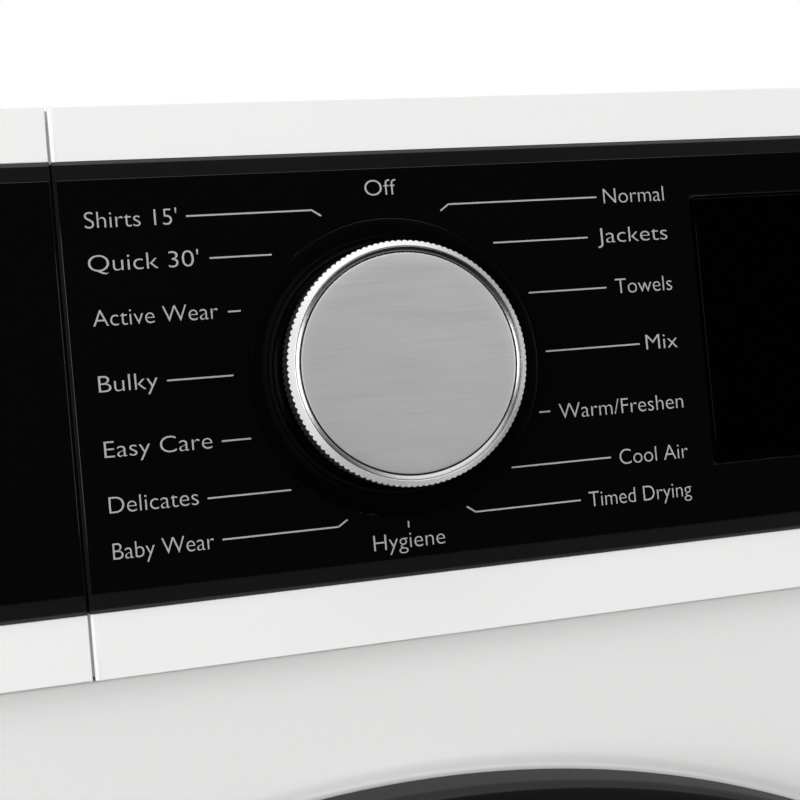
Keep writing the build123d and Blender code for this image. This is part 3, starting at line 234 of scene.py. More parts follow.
# Anodised aluminium, straight brushed across: even mid grey with fine level lines, 0.1 mm apart on the real
# one and 0.32 mm here so that they show.
BRUSHED_ALU = Finish("brushed_anodised_aluminium", "#cfcfcf", Surface.BRUSHED_X, 0.45, metallic=0.6,
                     grain_mm=0.32, depth_mm=0.008, mottle=0.09)
# Diamond-cut aluminium: a bright, nearly smooth band.
CUT_ALU = Finish("diamond_cut_aluminium", "#fbfbfb", Surface.POLISHED, 0.3, metallic=0.65, grain_mm=2.0,
                 depth_mm=0.001, mottle=0.02)
# Turned aluminium inside the rim: darker than the cut, with bright lines where it bends.
TURNED_ALU = Finish("turned_aluminium", "#a8a8a8", Surface.POLISHED, 0.26, metallic=1.0, grain_mm=0.5,
                    depth_mm=0.002, mottle=0.05)
# Knurled aluminium on the rim's sides: the same metal as the bevel, painted dark grey as painted shade where
# the small teeth face the well.
SHADED_KNURL_ALU = Finish("knurled_aluminium", "#5a5a5a", Surface.POLISHED, 0.35, metallic=0.8, grain_mm=0.5,
                   depth_mm=0.004, mottle=0.06)
# Moulded dark grey ABS: matt, so the door's rim reads as charcoal against the black lens. Its real grain is
# 0.3 mm, drawn at 0.9 mm so that it shows.
DOOR_GREY = Finish("moulded_charcoal_abs", "#1e1e1e", Surface.MOULDED, 0.6, grain_mm=0.9, depth_mm=0.006,
                   mottle=0.04, specular=0.3)
# Galvanised sheet steel: cool matt grey, broken up into zinc crystals of 14 mm that each hold their own tone.
GALVANISED = Finish("galvanised_steel", "#9ea1a4", Surface.GALVANISED, 0.4, metallic=0.9, grain_mm=14.0,
                    depth_mm=0.01, mottle=0.26)
# Stainless sheet, brushed along the drum: soft grey streaks of light. The real lines are 0.1 mm apart,
# drawn at 0.8 mm so that they show.
DRUM_STEEL = Finish("stainless_sheet", "#d2d4d6", Surface.BRUSHED_X, 0.38, metallic=0.8, grain_mm=0.8,
                    depth_mm=0.01, mottle=0.05)
# Zinc-plated and turned steel: bright, with tool lines that break up each highlight. The real lines are
# 0.1 mm apart, drawn at 0.7 mm so that they show.
BRIGHT_STEEL = Finish("zinc_plated_steel", "#b4b6b8", Surface.TURNED, 0.3, metallic=1.0, grain_mm=0.7,
                      depth_mm=0.01, mottle=0.07)
# Moulded polypropylene, mid grey: dull and even, so the mouth and the ducts stay quiet behind the door. Its
# real grain is 0.3 mm, drawn at 0.7 mm here and in the two below so that it shows.
GREY_PLASTIC = Finish("moulded_grey_pp", "#9a9da0", Surface.MOULDED, 0.5, grain_mm=0.7, depth_mm=0.02,
                      mottle=0.05)
# The same plastic in pale grey: the lifters stand out against the steel.
PALE_PLASTIC = Finish("moulded_pale_grey_pp", "#c3c6c8", Surface.MOULDED, 0.45, grain_mm=0.7, depth_mm=0.02,
                      mottle=0.04)
# The same plastic in black, with a deeper grain: the base, the gland and the gaps sink into shadow. The
# drum's holes are dark discs of it, painted shade for the dark seen through the open sheet.
BLACK_PLASTIC_AND_HOLE_SHADE = Finish("moulded_black_pp", "#1c1c1d", Surface.MOULDED, 0.55, grain_mm=0.7, depth_mm=0.03,
                      mottle=0.1)
# Mill-finish aluminium: pale and streaky, as rolled sheet comes. The real lines are 0.2 mm apart, drawn at
# 1.2 mm so that they show.
FINS = Finish("mill_finish_aluminium", "#c4c6c8", Surface.BRUSHED_X, 0.35, metallic=1.0, grain_mm=1.2,
              depth_mm=0.02, mottle=0.08)
# Moulded rubber: near black and dull, with only a broad faint sheen on its lips.
RUBBER = Finish("moulded_rubber", "#181818", Surface.RUBBER, 0.7, grain_mm=0.6, depth_mm=0.05, mottle=0.12)
# Pressed wool felt: warm grey without any gloss and with a soft edge light. The fibres are 0.05 mm, drawn
# in tufts of 0.9 mm so that they show.
FELT = Finish("pressed_wool_felt", "#8f8b84", Surface.FELT, 0.95, sheen=0.3, grain_mm=0.9, depth_mm=0.3,
              mottle=0.15)
# Milky polypropylene: bluish white that lets a little light through.
TANK = Finish("milky_polypropylene", "#d6dde2", Surface.MOULDED, 0.4, transmission=0.25, grain_mm=2.0,
              depth_mm=0.02, mottle=0.03)
# Lacquered circuit board: deep green with a low gloss.
BOARD = Finish("coated_circuit_board", "#1d4a2c", Surface.MOULDED, 0.35, grain_mm=1.5, depth_mm=0.03,
               mottle=0.15)
# Frosted lens: white and soft, with no sharp highlight.
LAMP = Finish("frosted_lens", "#eef0f2", Surface.MOULDED, 0.5, transmission=0.6, grain_mm=0.6, depth_mm=0.05)
# Pressed glass: clear, faintly green, with slow waves that bend what is behind it.
BOWL = Finish("pressed_glass", "#e6eeee", Surface.POLISHED, 0.03, ior=1.52, transmission=0.9, grain_mm=25.0,
              depth_mm=0.05, mottle=0.01)

SLOT_FINISH = {
    "white_steel": WHITE_STEEL, "white_abs": WHITE_ABS, "white_laminate": LAMINATE,
    "satin_black_abs": SATIN_BLACK, "gloss_black": GLOSS_BLACK, "smoked_window": SMOKED,
    "knob_metal": SHADED_KNURL_ALU, "door_ring_abs": DOOR_GREY, "galvanised_steel": GALVANISED,
    "grey_plastic": GREY_PLASTIC, "dark_plastic": BLACK_PLASTIC_AND_HOLE_SHADE, "drum_steel": DRUM_STEEL,
    "lifter_plastic": PALE_PLASTIC, "bright_steel": BRIGHT_STEEL, "aluminium_fins": FINS,
    "soft_rubber": RUBBER, "felt": FELT, "tank_plastic": TANK, "board": BOARD, "lamp_lens": LAMP,
    "bowl_glass": BOWL,
}


# ---- Mesh tools


def new_object(name: str, mesh: bpy.types.Mesh) -> bpy.types.Object:
    """Links a mesh to the scene as an object at the origin.

    Args:
        name: the object's name.
        mesh: its mesh.

    Returns:
        The object.
    """
    piece = bpy.data.objects.new(name, mesh)
    bpy.context.scene.collection.objects.link(piece)
    return piece


def from_bmesh(name: str, bm: bmesh.types.BMesh) -> bpy.types.Object:
    """Turns a working mesh into an object, and frees it.

    Args:
        name: the object's name.
        bm: the working mesh.

    Returns:
        The object.
    """
    mesh = bpy.data.meshes.new(name)
    bm.to_mesh(mesh)
    bm.free()
    return new_object(name, mesh)


def smooth(piece: bpy.types.Object, angle: float = 32.0) -> bpy.types.Object:
    """Shades a piece smooth, and keeps edges sharper than the angle in degrees crisp.

    Args:
        piece: the piece to shade.
        angle: the angle in degrees.

    Returns:
        The same piece.
    """
    bm = bmesh.new()
    bm.from_mesh(piece.data)
    for face in bm.faces:
        face.smooth = True
    for edge in bm.edges:
        edge.smooth = len(edge.link_faces) == 2 and edge.calc_face_angle(0.0) < math.radians(angle)
    bm.to_mesh(piece.data)
    bm.free()
    return piece


def lathe(name: str, centre: Sequence[float], outline: Sequence[Point2], steps: int = 192,
          upright: bool = False, angle: float = 32.0) -> bpy.types.Object:
    """Turns a closed outline about an axis.

    Args:
        name: the piece's name.
        centre: x and z of an axis along Y, or x and y of an upright one, in metres.
        outline: (radius, place along the axis) points in metres, in order round the section.
        steps: how many divisions the turn has.
        upright: whether the axis is along Z instead of Y.
        angle: edges sharper than this many degrees stay crisp.

    Returns:
        A closed mesh with its faces outwards.
    """
    bm = bmesh.new()
    rings = []
    for step in range(steps):
        turn = 2 * math.pi * step / steps
        sine, cosine = math.sin(turn), math.cos(turn)
        points = [(centre[0] + r * sine, centre[1] + r * cosine, along) for r, along in outline]
        rings.append([bm.verts.new(p if upright else (p[0], p[2], p[1])) for p in points])
    count = len(outline)
    for step in range(steps):
        here, there = rings[step], rings[(step + 1) % steps]
        for i in range(count):
            j = (i + 1) % count
            bm.faces.new((here[i], here[j], there[j], there[i]))
    bmesh.ops.remove_doubles(bm, verts=bm.verts, dist=1e-7)
    bmesh.ops.dissolve_degenerate(bm, edges=bm.edges, dist=1e-7)
    bmesh.ops.recalc_face_normals(bm, faces=bm.faces)
    return smooth(from_bmesh(name, bm), angle)


def rounded_box(name: str, low: Sequence[float], high: Sequence[float], radius: float,
                segments: int = 3) -> bpy.types.Object:
    """A box between two corners with rounded edges.

    Args:
        name: the piece's name.
        low: its lowest corner, in metres.
        high: its highest corner.
        radius: how far the rounding reaches from each edge.
        segments: how many faces the rounding has.

    Returns:
        The new piece.
    """
    bm = bmesh.new()
    bmesh.ops.create_cube(bm, size=1.0)
    for vert in bm.verts:
        vert.co = [low[i] + (vert.co[i] + 0.5) * (high[i] - low[i]) for i in range(3)]
    bmesh.ops.bevel(bm, geom=bm.edges, offset=radius, segments=segments, profile=0.5, affect="EDGES")
    return smooth(from_bmesh(name, bm))


def prism(name: str, outline: Sequence[Point2], low: float, high: float) -> bpy.types.Object:
    """An upright prism over an outline of x and y points, in metres.

    Args:
        name: the piece's name.
        outline: the points in order, in metres.
        low: the height of its bottom.
        high: the height of its top.

    Returns:
        The new piece.
    """
    bm = bmesh.new()
    ends = [[bm.verts.new((x, y, z)) for x, y in outline] for z in (low, high)]
    for end in ends:
        bm.faces.new(end)
    count = len(outline)
    for i in range(count):
        j = (i + 1) % count
        bm.faces.new((ends[0][i], ends[0][j], ends[1][j], ends[1][i]))
    bmesh.ops.recalc_face_normals(bm, faces=bm.faces)
    return from_bmesh(name, bm)


def applied(piece: bpy.types.Object) -> bpy.types.Object:
    """Bakes a piece's modifiers into its mesh.

    Args:
        piece: a piece with live modifiers.

    Returns:
        The same piece, with none left.
    """
    graph = bpy.context.evaluated_depsgraph_get()
    mesh = bpy.data.meshes.new_from_object(piece.evaluated_get(graph))
    mesh.name = piece.name
    piece.modifiers.clear()
    piece.data = mesh
    return piece


def softened(node: str, width: float, segments: int = 2, angle: float = 35.0,
             wide: tuple[float, Callable[[Vector, Vector], bool]] | None = None) -> bpy.types.Object:
    """A copy of a CAD node with its doubles merged and its sharp edges eased.

    Args:
        node: the CAD node's name.
        width: how wide the eased edge is, in metres; at 0 the edges stay as they are.
        segments: how many faces the eased edge has.
        angle: edges sharper than this many degrees are eased.
        wide: a greater width, and a test of an edge's two ends for the edges that get it first.

    Returns:
        The new piece, named after the node.
    """
    bm = bmesh.new()
    bm.from_mesh(bpy.data.objects[node].data)
    bmesh.ops.remove_doubles(bm, verts=bm.verts, dist=2e-6)
    bmesh.ops.dissolve_limit(bm, angle_limit=math.radians(0.5), verts=bm.verts, edges=bm.edges)
    if wide:
        chosen = [e for e in bm.edges if wide[1](e.verts[0].co, e.verts[1].co)]
        bmesh.ops.bevel(bm, geom=chosen, offset=wide[0], segments=6, profile=0.5, affect="EDGES",
                        clamp_overlap=True)
    piece = from_bmesh(f"{node}_finished", bm)
    if width:
        ease = piece.modifiers.new("ease", "BEVEL")
        ease.width = width
        ease.segments = segments
        ease.limit_method = "ANGLE"
        ease.angle_limit = math.radians(angle)
        ease.use_clamp_overlap = True
        applied(piece)
    return smooth(piece, 40.0)


def cut(piece: bpy.types.Object, tools: Iterable[bpy.types.Object],
        operation: str = "DIFFERENCE") -> bpy.types.Object:
    """Cuts tools out of a piece, or joins them to it, and removes the tools.

    Args:
        piece: the piece to change.
        tools: closed meshes, used one after the other.
        operation: DIFFERENCE to cut, UNION to join.

    Returns:
        The same piece.
    """
    for tool in tools:
        step = piece.modifiers.new("cut", "BOOLEAN")
        step.operation = operation
        step.solver = "EXACT"
        step.object = tool
        applied(piece)
        bpy.data.objects.remove(tool)
    return smooth(piece)


def joined(name: str, parts: Sequence[bpy.types.Object]) -> bpy.types.Object:
    """Joins pieces into one mesh, and removes the parts.

    Args:
        name: the new piece's name.
        parts: the pieces to join.

    Returns:
        The new piece.
    """
    bm = bmesh.new()
    for part in parts:
        part.data.transform(part.matrix_world)
        bm.from_mesh(part.data)
        bpy.data.objects.remove(part)
    return from_bmesh(name, bm)


# ---- Repeats made by Geometry Nodes


def modifier_result(name: str, tree: bpy.types.NodeTree, values: dict[str, Any]) -> bpy.types.Object:
    """Runs a Geometry Nodes tree with named inputs, and keeps its result as a plain mesh.

    Args:
        name: the new piece's name.
        tree: the tree.
        values: a value for each input, by its name.

    Returns:
        The new piece, with no modifier on it.
    """
    carrier = new_object(name, bpy.data.meshes.new(name))
    step = carrier.modifiers.new("make", "NODES")
    step.node_group = tree
    for item in tree.interface.items_tree:
        if item.item_type == "SOCKET" and item.in_out == "INPUT" and item.name in values:
            step[item.identifier] = values[item.name]
    applied(carrier)
    return carrier


def repeat_tree(name: str, place: Callable[[bpy.types.NodeTree, bpy.types.Node], tuple[Any, Any]]
                ) -> bpy.types.NodeTree:
    """A tree that puts copies of a prototype on points, realises them and sets their material.

    Args:
        name: the tree's name.
        place: gives the points and the copies' rotation from the tree and its input node.

    Returns:
        The tree, with inputs Count, Step, Start, Centre, Weld, Places, Prototype and Material.
    """
    found = bpy.data.node_groups.get(name)
    if found:
        return found
    tree = bpy.data.node_groups.new(name, "GeometryNodeTree")
    inputs = {"Count": "NodeSocketInt", "Step": "NodeSocketVector", "Start": "NodeSocketFloat",
              "Centre": "NodeSocketVector", "Weld": "NodeSocketFloat", "Places": "NodeSocketObject",
              "Prototype": "NodeSocketObject", "Material": "NodeSocketMaterial"}
    for label, kind in inputs.items():
        tree.interface.new_socket(label, in_out="INPUT", socket_type=kind)
    tree.interface.new_socket("Geometry", in_out="OUTPUT", socket_type="NodeSocketGeometry")
    source = add_node(tree, "NodeGroupInput")
    points, rotation = place(tree, source)
    shape = add_node(tree, "GeometryNodeObjectInfo", links={"Object": source.outputs["Prototype"]})
    copies = add_node(tree, "GeometryNodeInstanceOnPoints",
                      links={"Points": points, "Instance": shape.outputs["Geometry"], "Rotation": rotation})
    moved = add_node(tree, "GeometryNodeTransform", links={"Geometry": copies.outputs[0],
                                                           "Translation": source.outputs["Centre"]})
    real = add_node(tree, "GeometryNodeRealizeInstances", links={0: moved.outputs[0]})
    welded = add_node(tree, "GeometryNodeMergeByDistance", links={"Geometry": real.outputs[0],
                                                                  "Distance": source.outputs["Weld"]})
    dressed = add_node(tree, "GeometryNodeSetMaterial", links={0: welded.outputs[0],
                                                               "Material": source.outputs["Material"]})
    out = add_node(tree, "NodeGroupOutput")
    tree.links.new(dressed.outputs[0], out.inputs[0])
    return tree


def ring_points(tree: bpy.types.NodeTree, source: bpy.types.Node) -> tuple[Any, Any]:
    """Points on the axis, each turned further about Y, for copies spread round a circle.

    Args:
        tree: the tree to add to.
        source: its input node.

    Returns:
        The points and the copies' rotation.
    """
    points = add_node(tree, "GeometryNodePoints", links={"Count": source.outputs["Count"]})
    index = add_node(tree, "GeometryNodeInputIndex")
    share = add_node(tree, "ShaderNodeMath", {"operation": "DIVIDE"},
                     {0: index.outputs[0], 1: source.outputs["Count"]})
    turn = add_node(tree, "ShaderNodeMath", {"operation": "MULTIPLY_ADD"},
                    {0: share.outputs[0], 1: 2 * math.pi, 2: source.outputs["Start"]})
    angle = add_node(tree, "ShaderNodeCombineXYZ", links={"Y": turn.outputs[0]})
    return points.outputs[0], angle.outputs[0]


def line_points(tree: bpy.types.NodeTree, source: bpy.types.Node) -> tuple[Any, Any]:
    """Points a step apart, for copies in a row.

    Args:
        tree: the tree to add to.
        source: its input node.

    Returns:
        The points and the copies' rotation.
    """
    line = add_node(tree, "GeometryNodeMeshLine", {"mode": "OFFSET"},
                    {"Count": source.outputs["Count"], "Offset": source.outputs["Step"]})
    return line.outputs[0], (0.0, 0.0, 0.0)


def place_points(tree: bpy.types.NodeTree, source: bpy.types.Node) -> tuple[Any, Any]:
    """The vertices of a mesh, for copies at places that follow no rule."""
    marks = add_node(tree, "GeometryNodeObjectInfo", links={"Object": source.outputs["Places"]})
    return marks.outputs["Geometry"], (0.0, 0.0, 0.0)


def ring_of(name: str, prototype: bpy.types.Object, count: int, centre: Sequence[float], finish: Finish,
            start: float = 0.0, weld: float = 0.0) -> bpy.types.Object:
    """Copies of a prototype spread evenly round a Y axis; it is modelled with its axis at the origin.

    Args:
        name: the new piece's name.
        prototype: one copy, which is removed after use.
        count: how many copies.
        centre: where the axis stands, in metres.
        finish: their material.
        start: the first copy's turn, in radians.
        weld: vertices nearer than this are merged.

    Returns:
        All copies as one mesh.
    """
    made = modifier_result(name, repeat_tree("copies_round_an_axis", ring_points), {
        "Count": count, "Centre": Vector(centre), "Start": start, "Weld": weld, "Prototype": prototype,
        "Material": finish.material()})
    bpy.data.objects.remove(prototype)
    return made


def row_of(name: str, prototype: bpy.types.Object, count: int, step: Sequence[float], finish: Finish,
           centre: Sequence[float] = (0.0, 0.0, 0.0)) -> bpy.types.Object:
    """Copies of a prototype in a straight row.

    Args:
        name: the new piece's name.
        prototype: the first copy, which is removed after use.
        count: how many copies.
        step: from one copy to the next, in metres.
        finish: their material.
        centre: how far the whole row is moved.

    Returns:
        All copies as one mesh.
    """
    made = modifier_result(name, repeat_tree("copies_in_a_row", line_points), {
        "Count": count, "Step": Vector(step), "Centre": Vector(centre), "Prototype": prototype,
        "Material": finish.material()})
    bpy.data.objects.remove(prototype)
    return made


def copies_at(name: str, prototype: bpy.types.Object, places: Sequence[Sequence[float]],
              finish: Finish) -> bpy.types.Object:
    """Copies of a prototype at given places; the prototype is modelled at the origin.

    Args:
        name: the new piece's name.
        prototype: one copy, which is removed after use.
        places: where the copies go, in metres.
        finish: their material.

    Returns:
        All copies as one mesh.
    """
    bm = bmesh.new()
    for place in places:
        bm.verts.new(place)
    marks = from_bmesh("places", bm)
    made = modifier_result(name, repeat_tree("copies_at_places", place_points), {
        "Places": marks, "Prototype": prototype, "Material": finish.material()})
    for spent in (marks, prototype):
        bpy.data.objects.remove(spent)
    return made


# ---- Putting pieces on the machine


def install(piece: bpy.types.Object, body: str, slot: str, finish: Finish | None = None,
            stands_for: Sequence[str] = ()) -> bpy.types.Object:
    """Gives a piece its material, from its record slot's finish unless another is given, and its body.

    Args:
        piece: the finished mesh, in place.
        body: the CAD body that it rides on.
        slot: the record's material slot.
        finish: its finish, where it isn't the slot's own.
        stands_for: CAD nodes that it replaces.

    Returns:
        The piece.
    """
    for face in piece.data.polygons:
        if face.area > LEVEL_AREA and max(abs(c) for c in face.normal) > LEVEL:
            face.use_smooth = False
    piece.data.materials.clear()
    piece.data.materials.append((finish or SLOT_FINISH[slot]).material())
    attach(piece, body)
    if stands_for:
        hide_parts(*stands_for)
    LOG.info("%s rides on %s (%d faces)", piece.name, body, len(piece.data.polygons))
    return piece


def opening(record: dict[str, Any], name: str) -> tuple[Vector, Vector]:
    """The lowest and highest corner of one of the record's openings."""
    box = next(o for o in record["physics"]["openings"] if o["name"] == name)["box_m"]
    return Vector(box[0]), Vector(box[1])


def middle(node: str) -> Vector:
    """The middle of a CAD node's box."""
    low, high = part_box(node)
    return (low + high) / 2


@dataclass
class Label:
    """One printed word: its text, its anchor's x and its baseline's z, in millimetres from the dial."""

    text: str
    x: float
    z: float
    anchor: str
    width: float


@dataclass
class ControlPanel:
    """The black panel's film, print, display edge and buttons."""

    record: dict[str, Any]
    film_t: float = 0.25 * MM
    border: float = 3.9 * MM
    seam_land: float = 0.6 * MM
    lip_depth: float = 1.9 * MM
    lip_back: float = 3.0 * MM
    cutout_gap: float = 0.3 * MM
    pocket_edge: float = 0.8 * MM
    builtin_cap: float = 0.69
    frame_inset: float = 0.8 * MM
    frame_line: float = 0.22 * MM
    collar_land: float = 4.1 * MM
    collar_bowl: tuple[float, float] = (3.6 * MM, 2.2 * MM)
    collar_bore: float = 4.0 * MM
    mark_size: float = 2.6 * MM
    cap_height: float = 3.4 * MM
    thinning: float = -0.012
    stroke: float = 0.34 * MM
    ink: float = 0.04 * MM
    print_shift: tuple[float, float] = (-0.45 * MM, -0.1 * MM)
    labels: list[Label] = field(default_factory=lambda: [
        Label("Shirts 15'", -61.8, 32.7, "LEFT", 18.5), Label("Quick 30'", -61.8, 23.9, "LEFT", 22.2),
        Label("Active Wear", -61.8, 12.8, "LEFT", 25.2), Label("Bulky", -61.8, -0.5, "LEFT", 11.8),
        Label("Easy Care", -61.8, -13.7, "LEFT", 21.7), Label("Delicates", -61.8, -24.9, "LEFT", 17.9),
        Label("Baby Wear", -61.8, -34.2, "LEFT", 20.3),
        Label("Normal", 66.0, 32.7, "RIGHT", 14.7), Label("Jackets", 66.0, 23.9, "RIGHT", 17.0),
        Label("Towels", 66.0, 12.4, "RIGHT", 13.8), Label("Mix", 66.0, -0.6, "RIGHT", 7.7),
        Label("Warm/Freshen", 66.0, -14.3, "RIGHT", 29.9), Label("Cool Air", 66.0, -25.6, "RIGHT", 16.6),
        Label("Timed Drying", 66.0, -34.2, "RIGHT", 24.8),
        Label("Off", 0.25, 36.8, "CENTER", 7.0), Label("Hygiene", -0.35, -38.5, "CENTER", 15.7)])
    # Each leader line is a chain of points, in millimetres from the dial's centre.
    leaders: list[list[Point2]] = field(default_factory=lambda: [
        [(-41.4, 34.3), (-15.1, 34.3), (-13.2, 33.0)], [(-37.3, 25.4), (-24.4, 25.4)],
        [(-34.5, 14.1), (-31.9, 14.1)], [(-48.1, 0.9), (-34.6, 0.9)], [(-38.1, -12.4), (-32.1, -12.4)],
        [(-42.0, -23.8), (-24.7, -23.8)], [(-39.7, -32.5), (-15.4, -32.5), (-13.4, -31.2)],
        [(13.2, 32.9), (15.0, 34.2), (49.6, 34.2)], [(24.5, 25.3), (46.6, 25.3)],
        [(31.6, 13.9), (50.0, 13.9)],
        [(34.3, 0.8), (56.7, 0.8)], [(31.5, -12.4), (34.0, -12.4)], [(24.0, -23.8), (47.3, -23.8)],
        [(13.0, -31.2), (14.9, -32.5), (39.2, -32.5)], [(-0.25, -32.9), (-0.25, -34.2)]])

    def build(self) -> None:
        """Makes and installs every piece of the panel."""
        self.dial = middle("program_dial")
        self.anchor = self.dial + Vector((self.print_shift[0], 0, self.print_shift[1]))
        self.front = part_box("fascia_trim")[0].y
        self._trims()
        self._film()
        self._print()
        self._display()
        self._collar()
        self._buttons()

    def _trims(self) -> None:
        """The satin plates behind the film, and the lip that closes the seam between fascia and drawer."""
        for node, body in (("fascia_trim", "root"), ("drawer_trim", "drawer")):
            install(softened(node, 0.12 * MM), body, "satin_black_abs", stands_for=[node])
        low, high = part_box("control_fascia")
        trim_low, trim_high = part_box("fascia_trim")
        left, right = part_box("drawer_front")[1].x + 0.06 * MM, low.x + 0.3 * MM
        spans = {"seam_lip_lower": (low.z + 0.6 * MM, trim_low.z, "white_abs"),
                 "seam_lip_upper": (trim_high.z, high.z - 0.6 * MM, "white_abs"),
                 "seam_lip_middle": (trim_low.z, trim_high.z, "satin_black_abs")}
        for name, (bottom, top, slot) in spans.items():
            lip = rounded_box(name, (left, low.y + self.lip_depth, bottom),
                              (right, low.y + self.lip_back, top), 0.05 * MM)
            install(lip, "root", slot)

    def _film(self) -> None:
        """The gloss film inside the satin border, on the fascia and on the drawer's front."""
        for node, body, name in (("fascia_trim", "root", "gloss_film"),
                                 ("drawer_trim", "drawer", "drawer_film")):
            low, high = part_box(node)
            left, right = (self.seam_land, self.border) if body == "root" else (self.border, 0.15 * MM)
            film = rounded_box(name, (low.x + left, self.front - self.film_t, low.z + self.border),
                               (high.x - right, self.front + self.film_t, high.z - self.border), 0.12 * MM)
            if body == "root":
                cut(film, self._film_tools())
            else:
                cut(film, [self._grip_tool()])
            install(film, body, "gloss_black")

    def _film_tools(self) -> list[bpy.types.Object]:
        """What is cut out of the film: the dial's collar, the display and the buttons.

        Returns:
            The cutting tools.
        """
        near, far = self.front - 2 * MM, self.front + 2 * MM
        radius = (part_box("dial_collar")[1].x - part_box("dial_collar")[0].x) / 2 + 0.1 * MM
        tools = [lathe("tool", (self.dial.x, self.dial.z),
                       [(0, near), (radius, near), (radius, far), (0, far)])]
        for node in ("display_window", "option_button_1", "option_button_2", "option_button_3"):
            low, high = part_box(node)
            rim = self.cutout_gap
            tool = rounded_box("tool", (low.x - rim, near, low.z - rim), (high.x + rim, far, high.z + rim),
                               0.1 * MM)
            tools.append(tool)
        low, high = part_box("start_button")
        radius = (high.x - low.x) / 2 + self.cutout_gap
        tools.append(lathe("tool", ((low.x + high.x) / 2, (low.z + high.z) / 2),
                           [(0, near), (radius, near), (radius, far), (0, far)]))
        return tools

    def _grip_tool(self) -> bpy.types.Object:
        """The finger pocket's outline, cut out of the drawer's film.

        Returns:
            The cutting tool.
        """
        low, high = opening(self.record, "drawer_finger_grip")
        edge = self.pocket_edge
        return rounded_box("tool", (low.x - edge, self.front - 3 * MM, low.z - edge),
                           (high.x + edge, self.front + 3 * MM, high.z + edge), 0.2 * MM)

    def _print(self) -> None:
        """The printed words and leader lines, as thin raised ink."""
        face = self.front - self.film_t
        words = [self._word(label, face) for label in self.labels]
        install(joined("program_names", words), "root", "gloss_black", PRINT)
        bars = [self._bar(a, b, face) for chain in self.leaders for a, b in zip(chain, chain[1:])]
        install(joined("leader_lines", bars), "root", "gloss_black", PRINT)

    def _word(self, label: Label, face: float) -> bpy.types.Object:
        """One word as a mesh, scaled to its cap height and its width.

        Args:
            label: the word and its place.
            face: the film's front.

        Returns:
            The word, with its back on the film.
        """
        curve = bpy.data.curves.new("word", "FONT")
        curve.body = label.text
        curve.extrude = 0.5
        curve.offset = self.thinning
        carrier = bpy.data.objects.new("word", curve)
        bpy.context.scene.collection.objects.link(carrier)
        bpy.context.view_layer.update()
        mesh = bpy.data.meshes.new_from_object(carrier.evaluated_get(bpy.context.evaluated_depsgraph_get()))
        bpy.data.objects.remove(carrier)
        xs = [v.co.x for v in mesh.vertices]
        wide = max(xs) - min(xs)
        shift = {"LEFT": 0.0, "CENTER": -0.5, "RIGHT": -1.0}[label.anchor] * label.width * MM
        for vert in mesh.vertices:
            x = (vert.co.x - min(xs)) / wide * label.width * MM + shift + label.x * MM + self.anchor.x
            z = vert.co.y * self.cap_height / self.builtin_cap + label.z * MM + self.anchor.z
            vert.co = (x, face - vert.co.z * self.ink, z)
        return new_object("word", mesh)

    def _bar(self, a: Point2, b: Point2, face: float) -> bpy.types.Object:
        """One straight stroke of a leader line, with its ends extended to close its corners.

        Args:
            a: its start, in millimetres from the dial.
            b: its end.
            face: the film's front.

        Returns:
            The stroke.
        """
        start, end = Vector((a[0], 0, a[1])) * MM, Vector((b[0], 0, b[1])) * MM
        along = (end - start).normalized()
        side = Vector((-along.z, 0, along.x)) * self.stroke / 2
        reach = along * self.stroke * 0.1
        centre = Vector((self.anchor.x, face, self.anchor.z))
        bm = bmesh.new()
        corners = [start - reach - side, end + reach - side, end + reach + side, start - reach + side]
        ink = Vector((0, self.ink, 0))
        front = [bm.verts.new(centre + c - ink) for c in corners]
        back = [bm.verts.new(centre + c + ink) for c in corners]
        bm.faces.new(front)
        bm.faces.new(reversed(back))
        for i in range(4):
            j = (i + 1) % 4
            bm.faces.new((front[i], back[i], back[j], front[j]))
        bmesh.ops.recalc_face_normals(bm, faces=bm.faces)
        return from_bmesh("bar", bm)

    def _display(self) -> None:
        """The display's pane with a fine raised frame line inside its edge."""
        low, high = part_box("display_window")
        pane = softened("display_window", 0.15 * MM)
        install(pane, "root", "smoked_window", stands_for=["display_window"])
        inset, line = self.frame_inset, self.frame_line
        outer = rounded_box("display_frame_line", (low.x + inset, low.y - 0.05 * MM, low.z + inset),
                            (high.x - inset, low.y + 0.1 * MM, high.z - inset), 0.04 * MM)
        inner = rounded_box("tool", (low.x + inset + line, low.y - MM, low.z + inset + line),
                            (high.x - inset - line, low.y + MM, high.z - inset - line), 0.04 * MM)
        install(cut(outer, [inner]), "root", "smoked_window")

    def _collar(self) -> None:
        """The dished collar round the dial, with its two fine steps."""
        low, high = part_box("dial_collar")
        outer = (high.x - low.x) / 2
        near = self.front - self.film_t
        well = outer - self.collar_land
        across, deep = self.collar_bowl
        outline = [
            (outer, near + 0.35 * MM), (outer - 0.15 * MM, near + 0.1 * MM),
            (outer - 0.4 * MM, near + 0.04 * MM), (well + 0.3 * MM, near + 0.04 * MM),
            (well + 0.1 * MM, near + 0.12 * MM), (well, near + 0.35 * MM)]
        bowl = [(well - across * math.sin(t), near + 0.35 * MM + deep * (1 - math.cos(t)))
                for t in (math.pi / 2 * k / 8 for k in range(1, 9))]
        floor = bowl[-1][1]
        outline += bowl + [(self.collar_bore, floor), (self.collar_bore, high.y), (outer, high.y)]
        collar = lathe("dial_collar_finished", (self.dial.x, self.dial.z), outline, 256)
        install(collar, "root", "gloss_black", COLLAR_BLACK, stands_for=["dial_collar"])

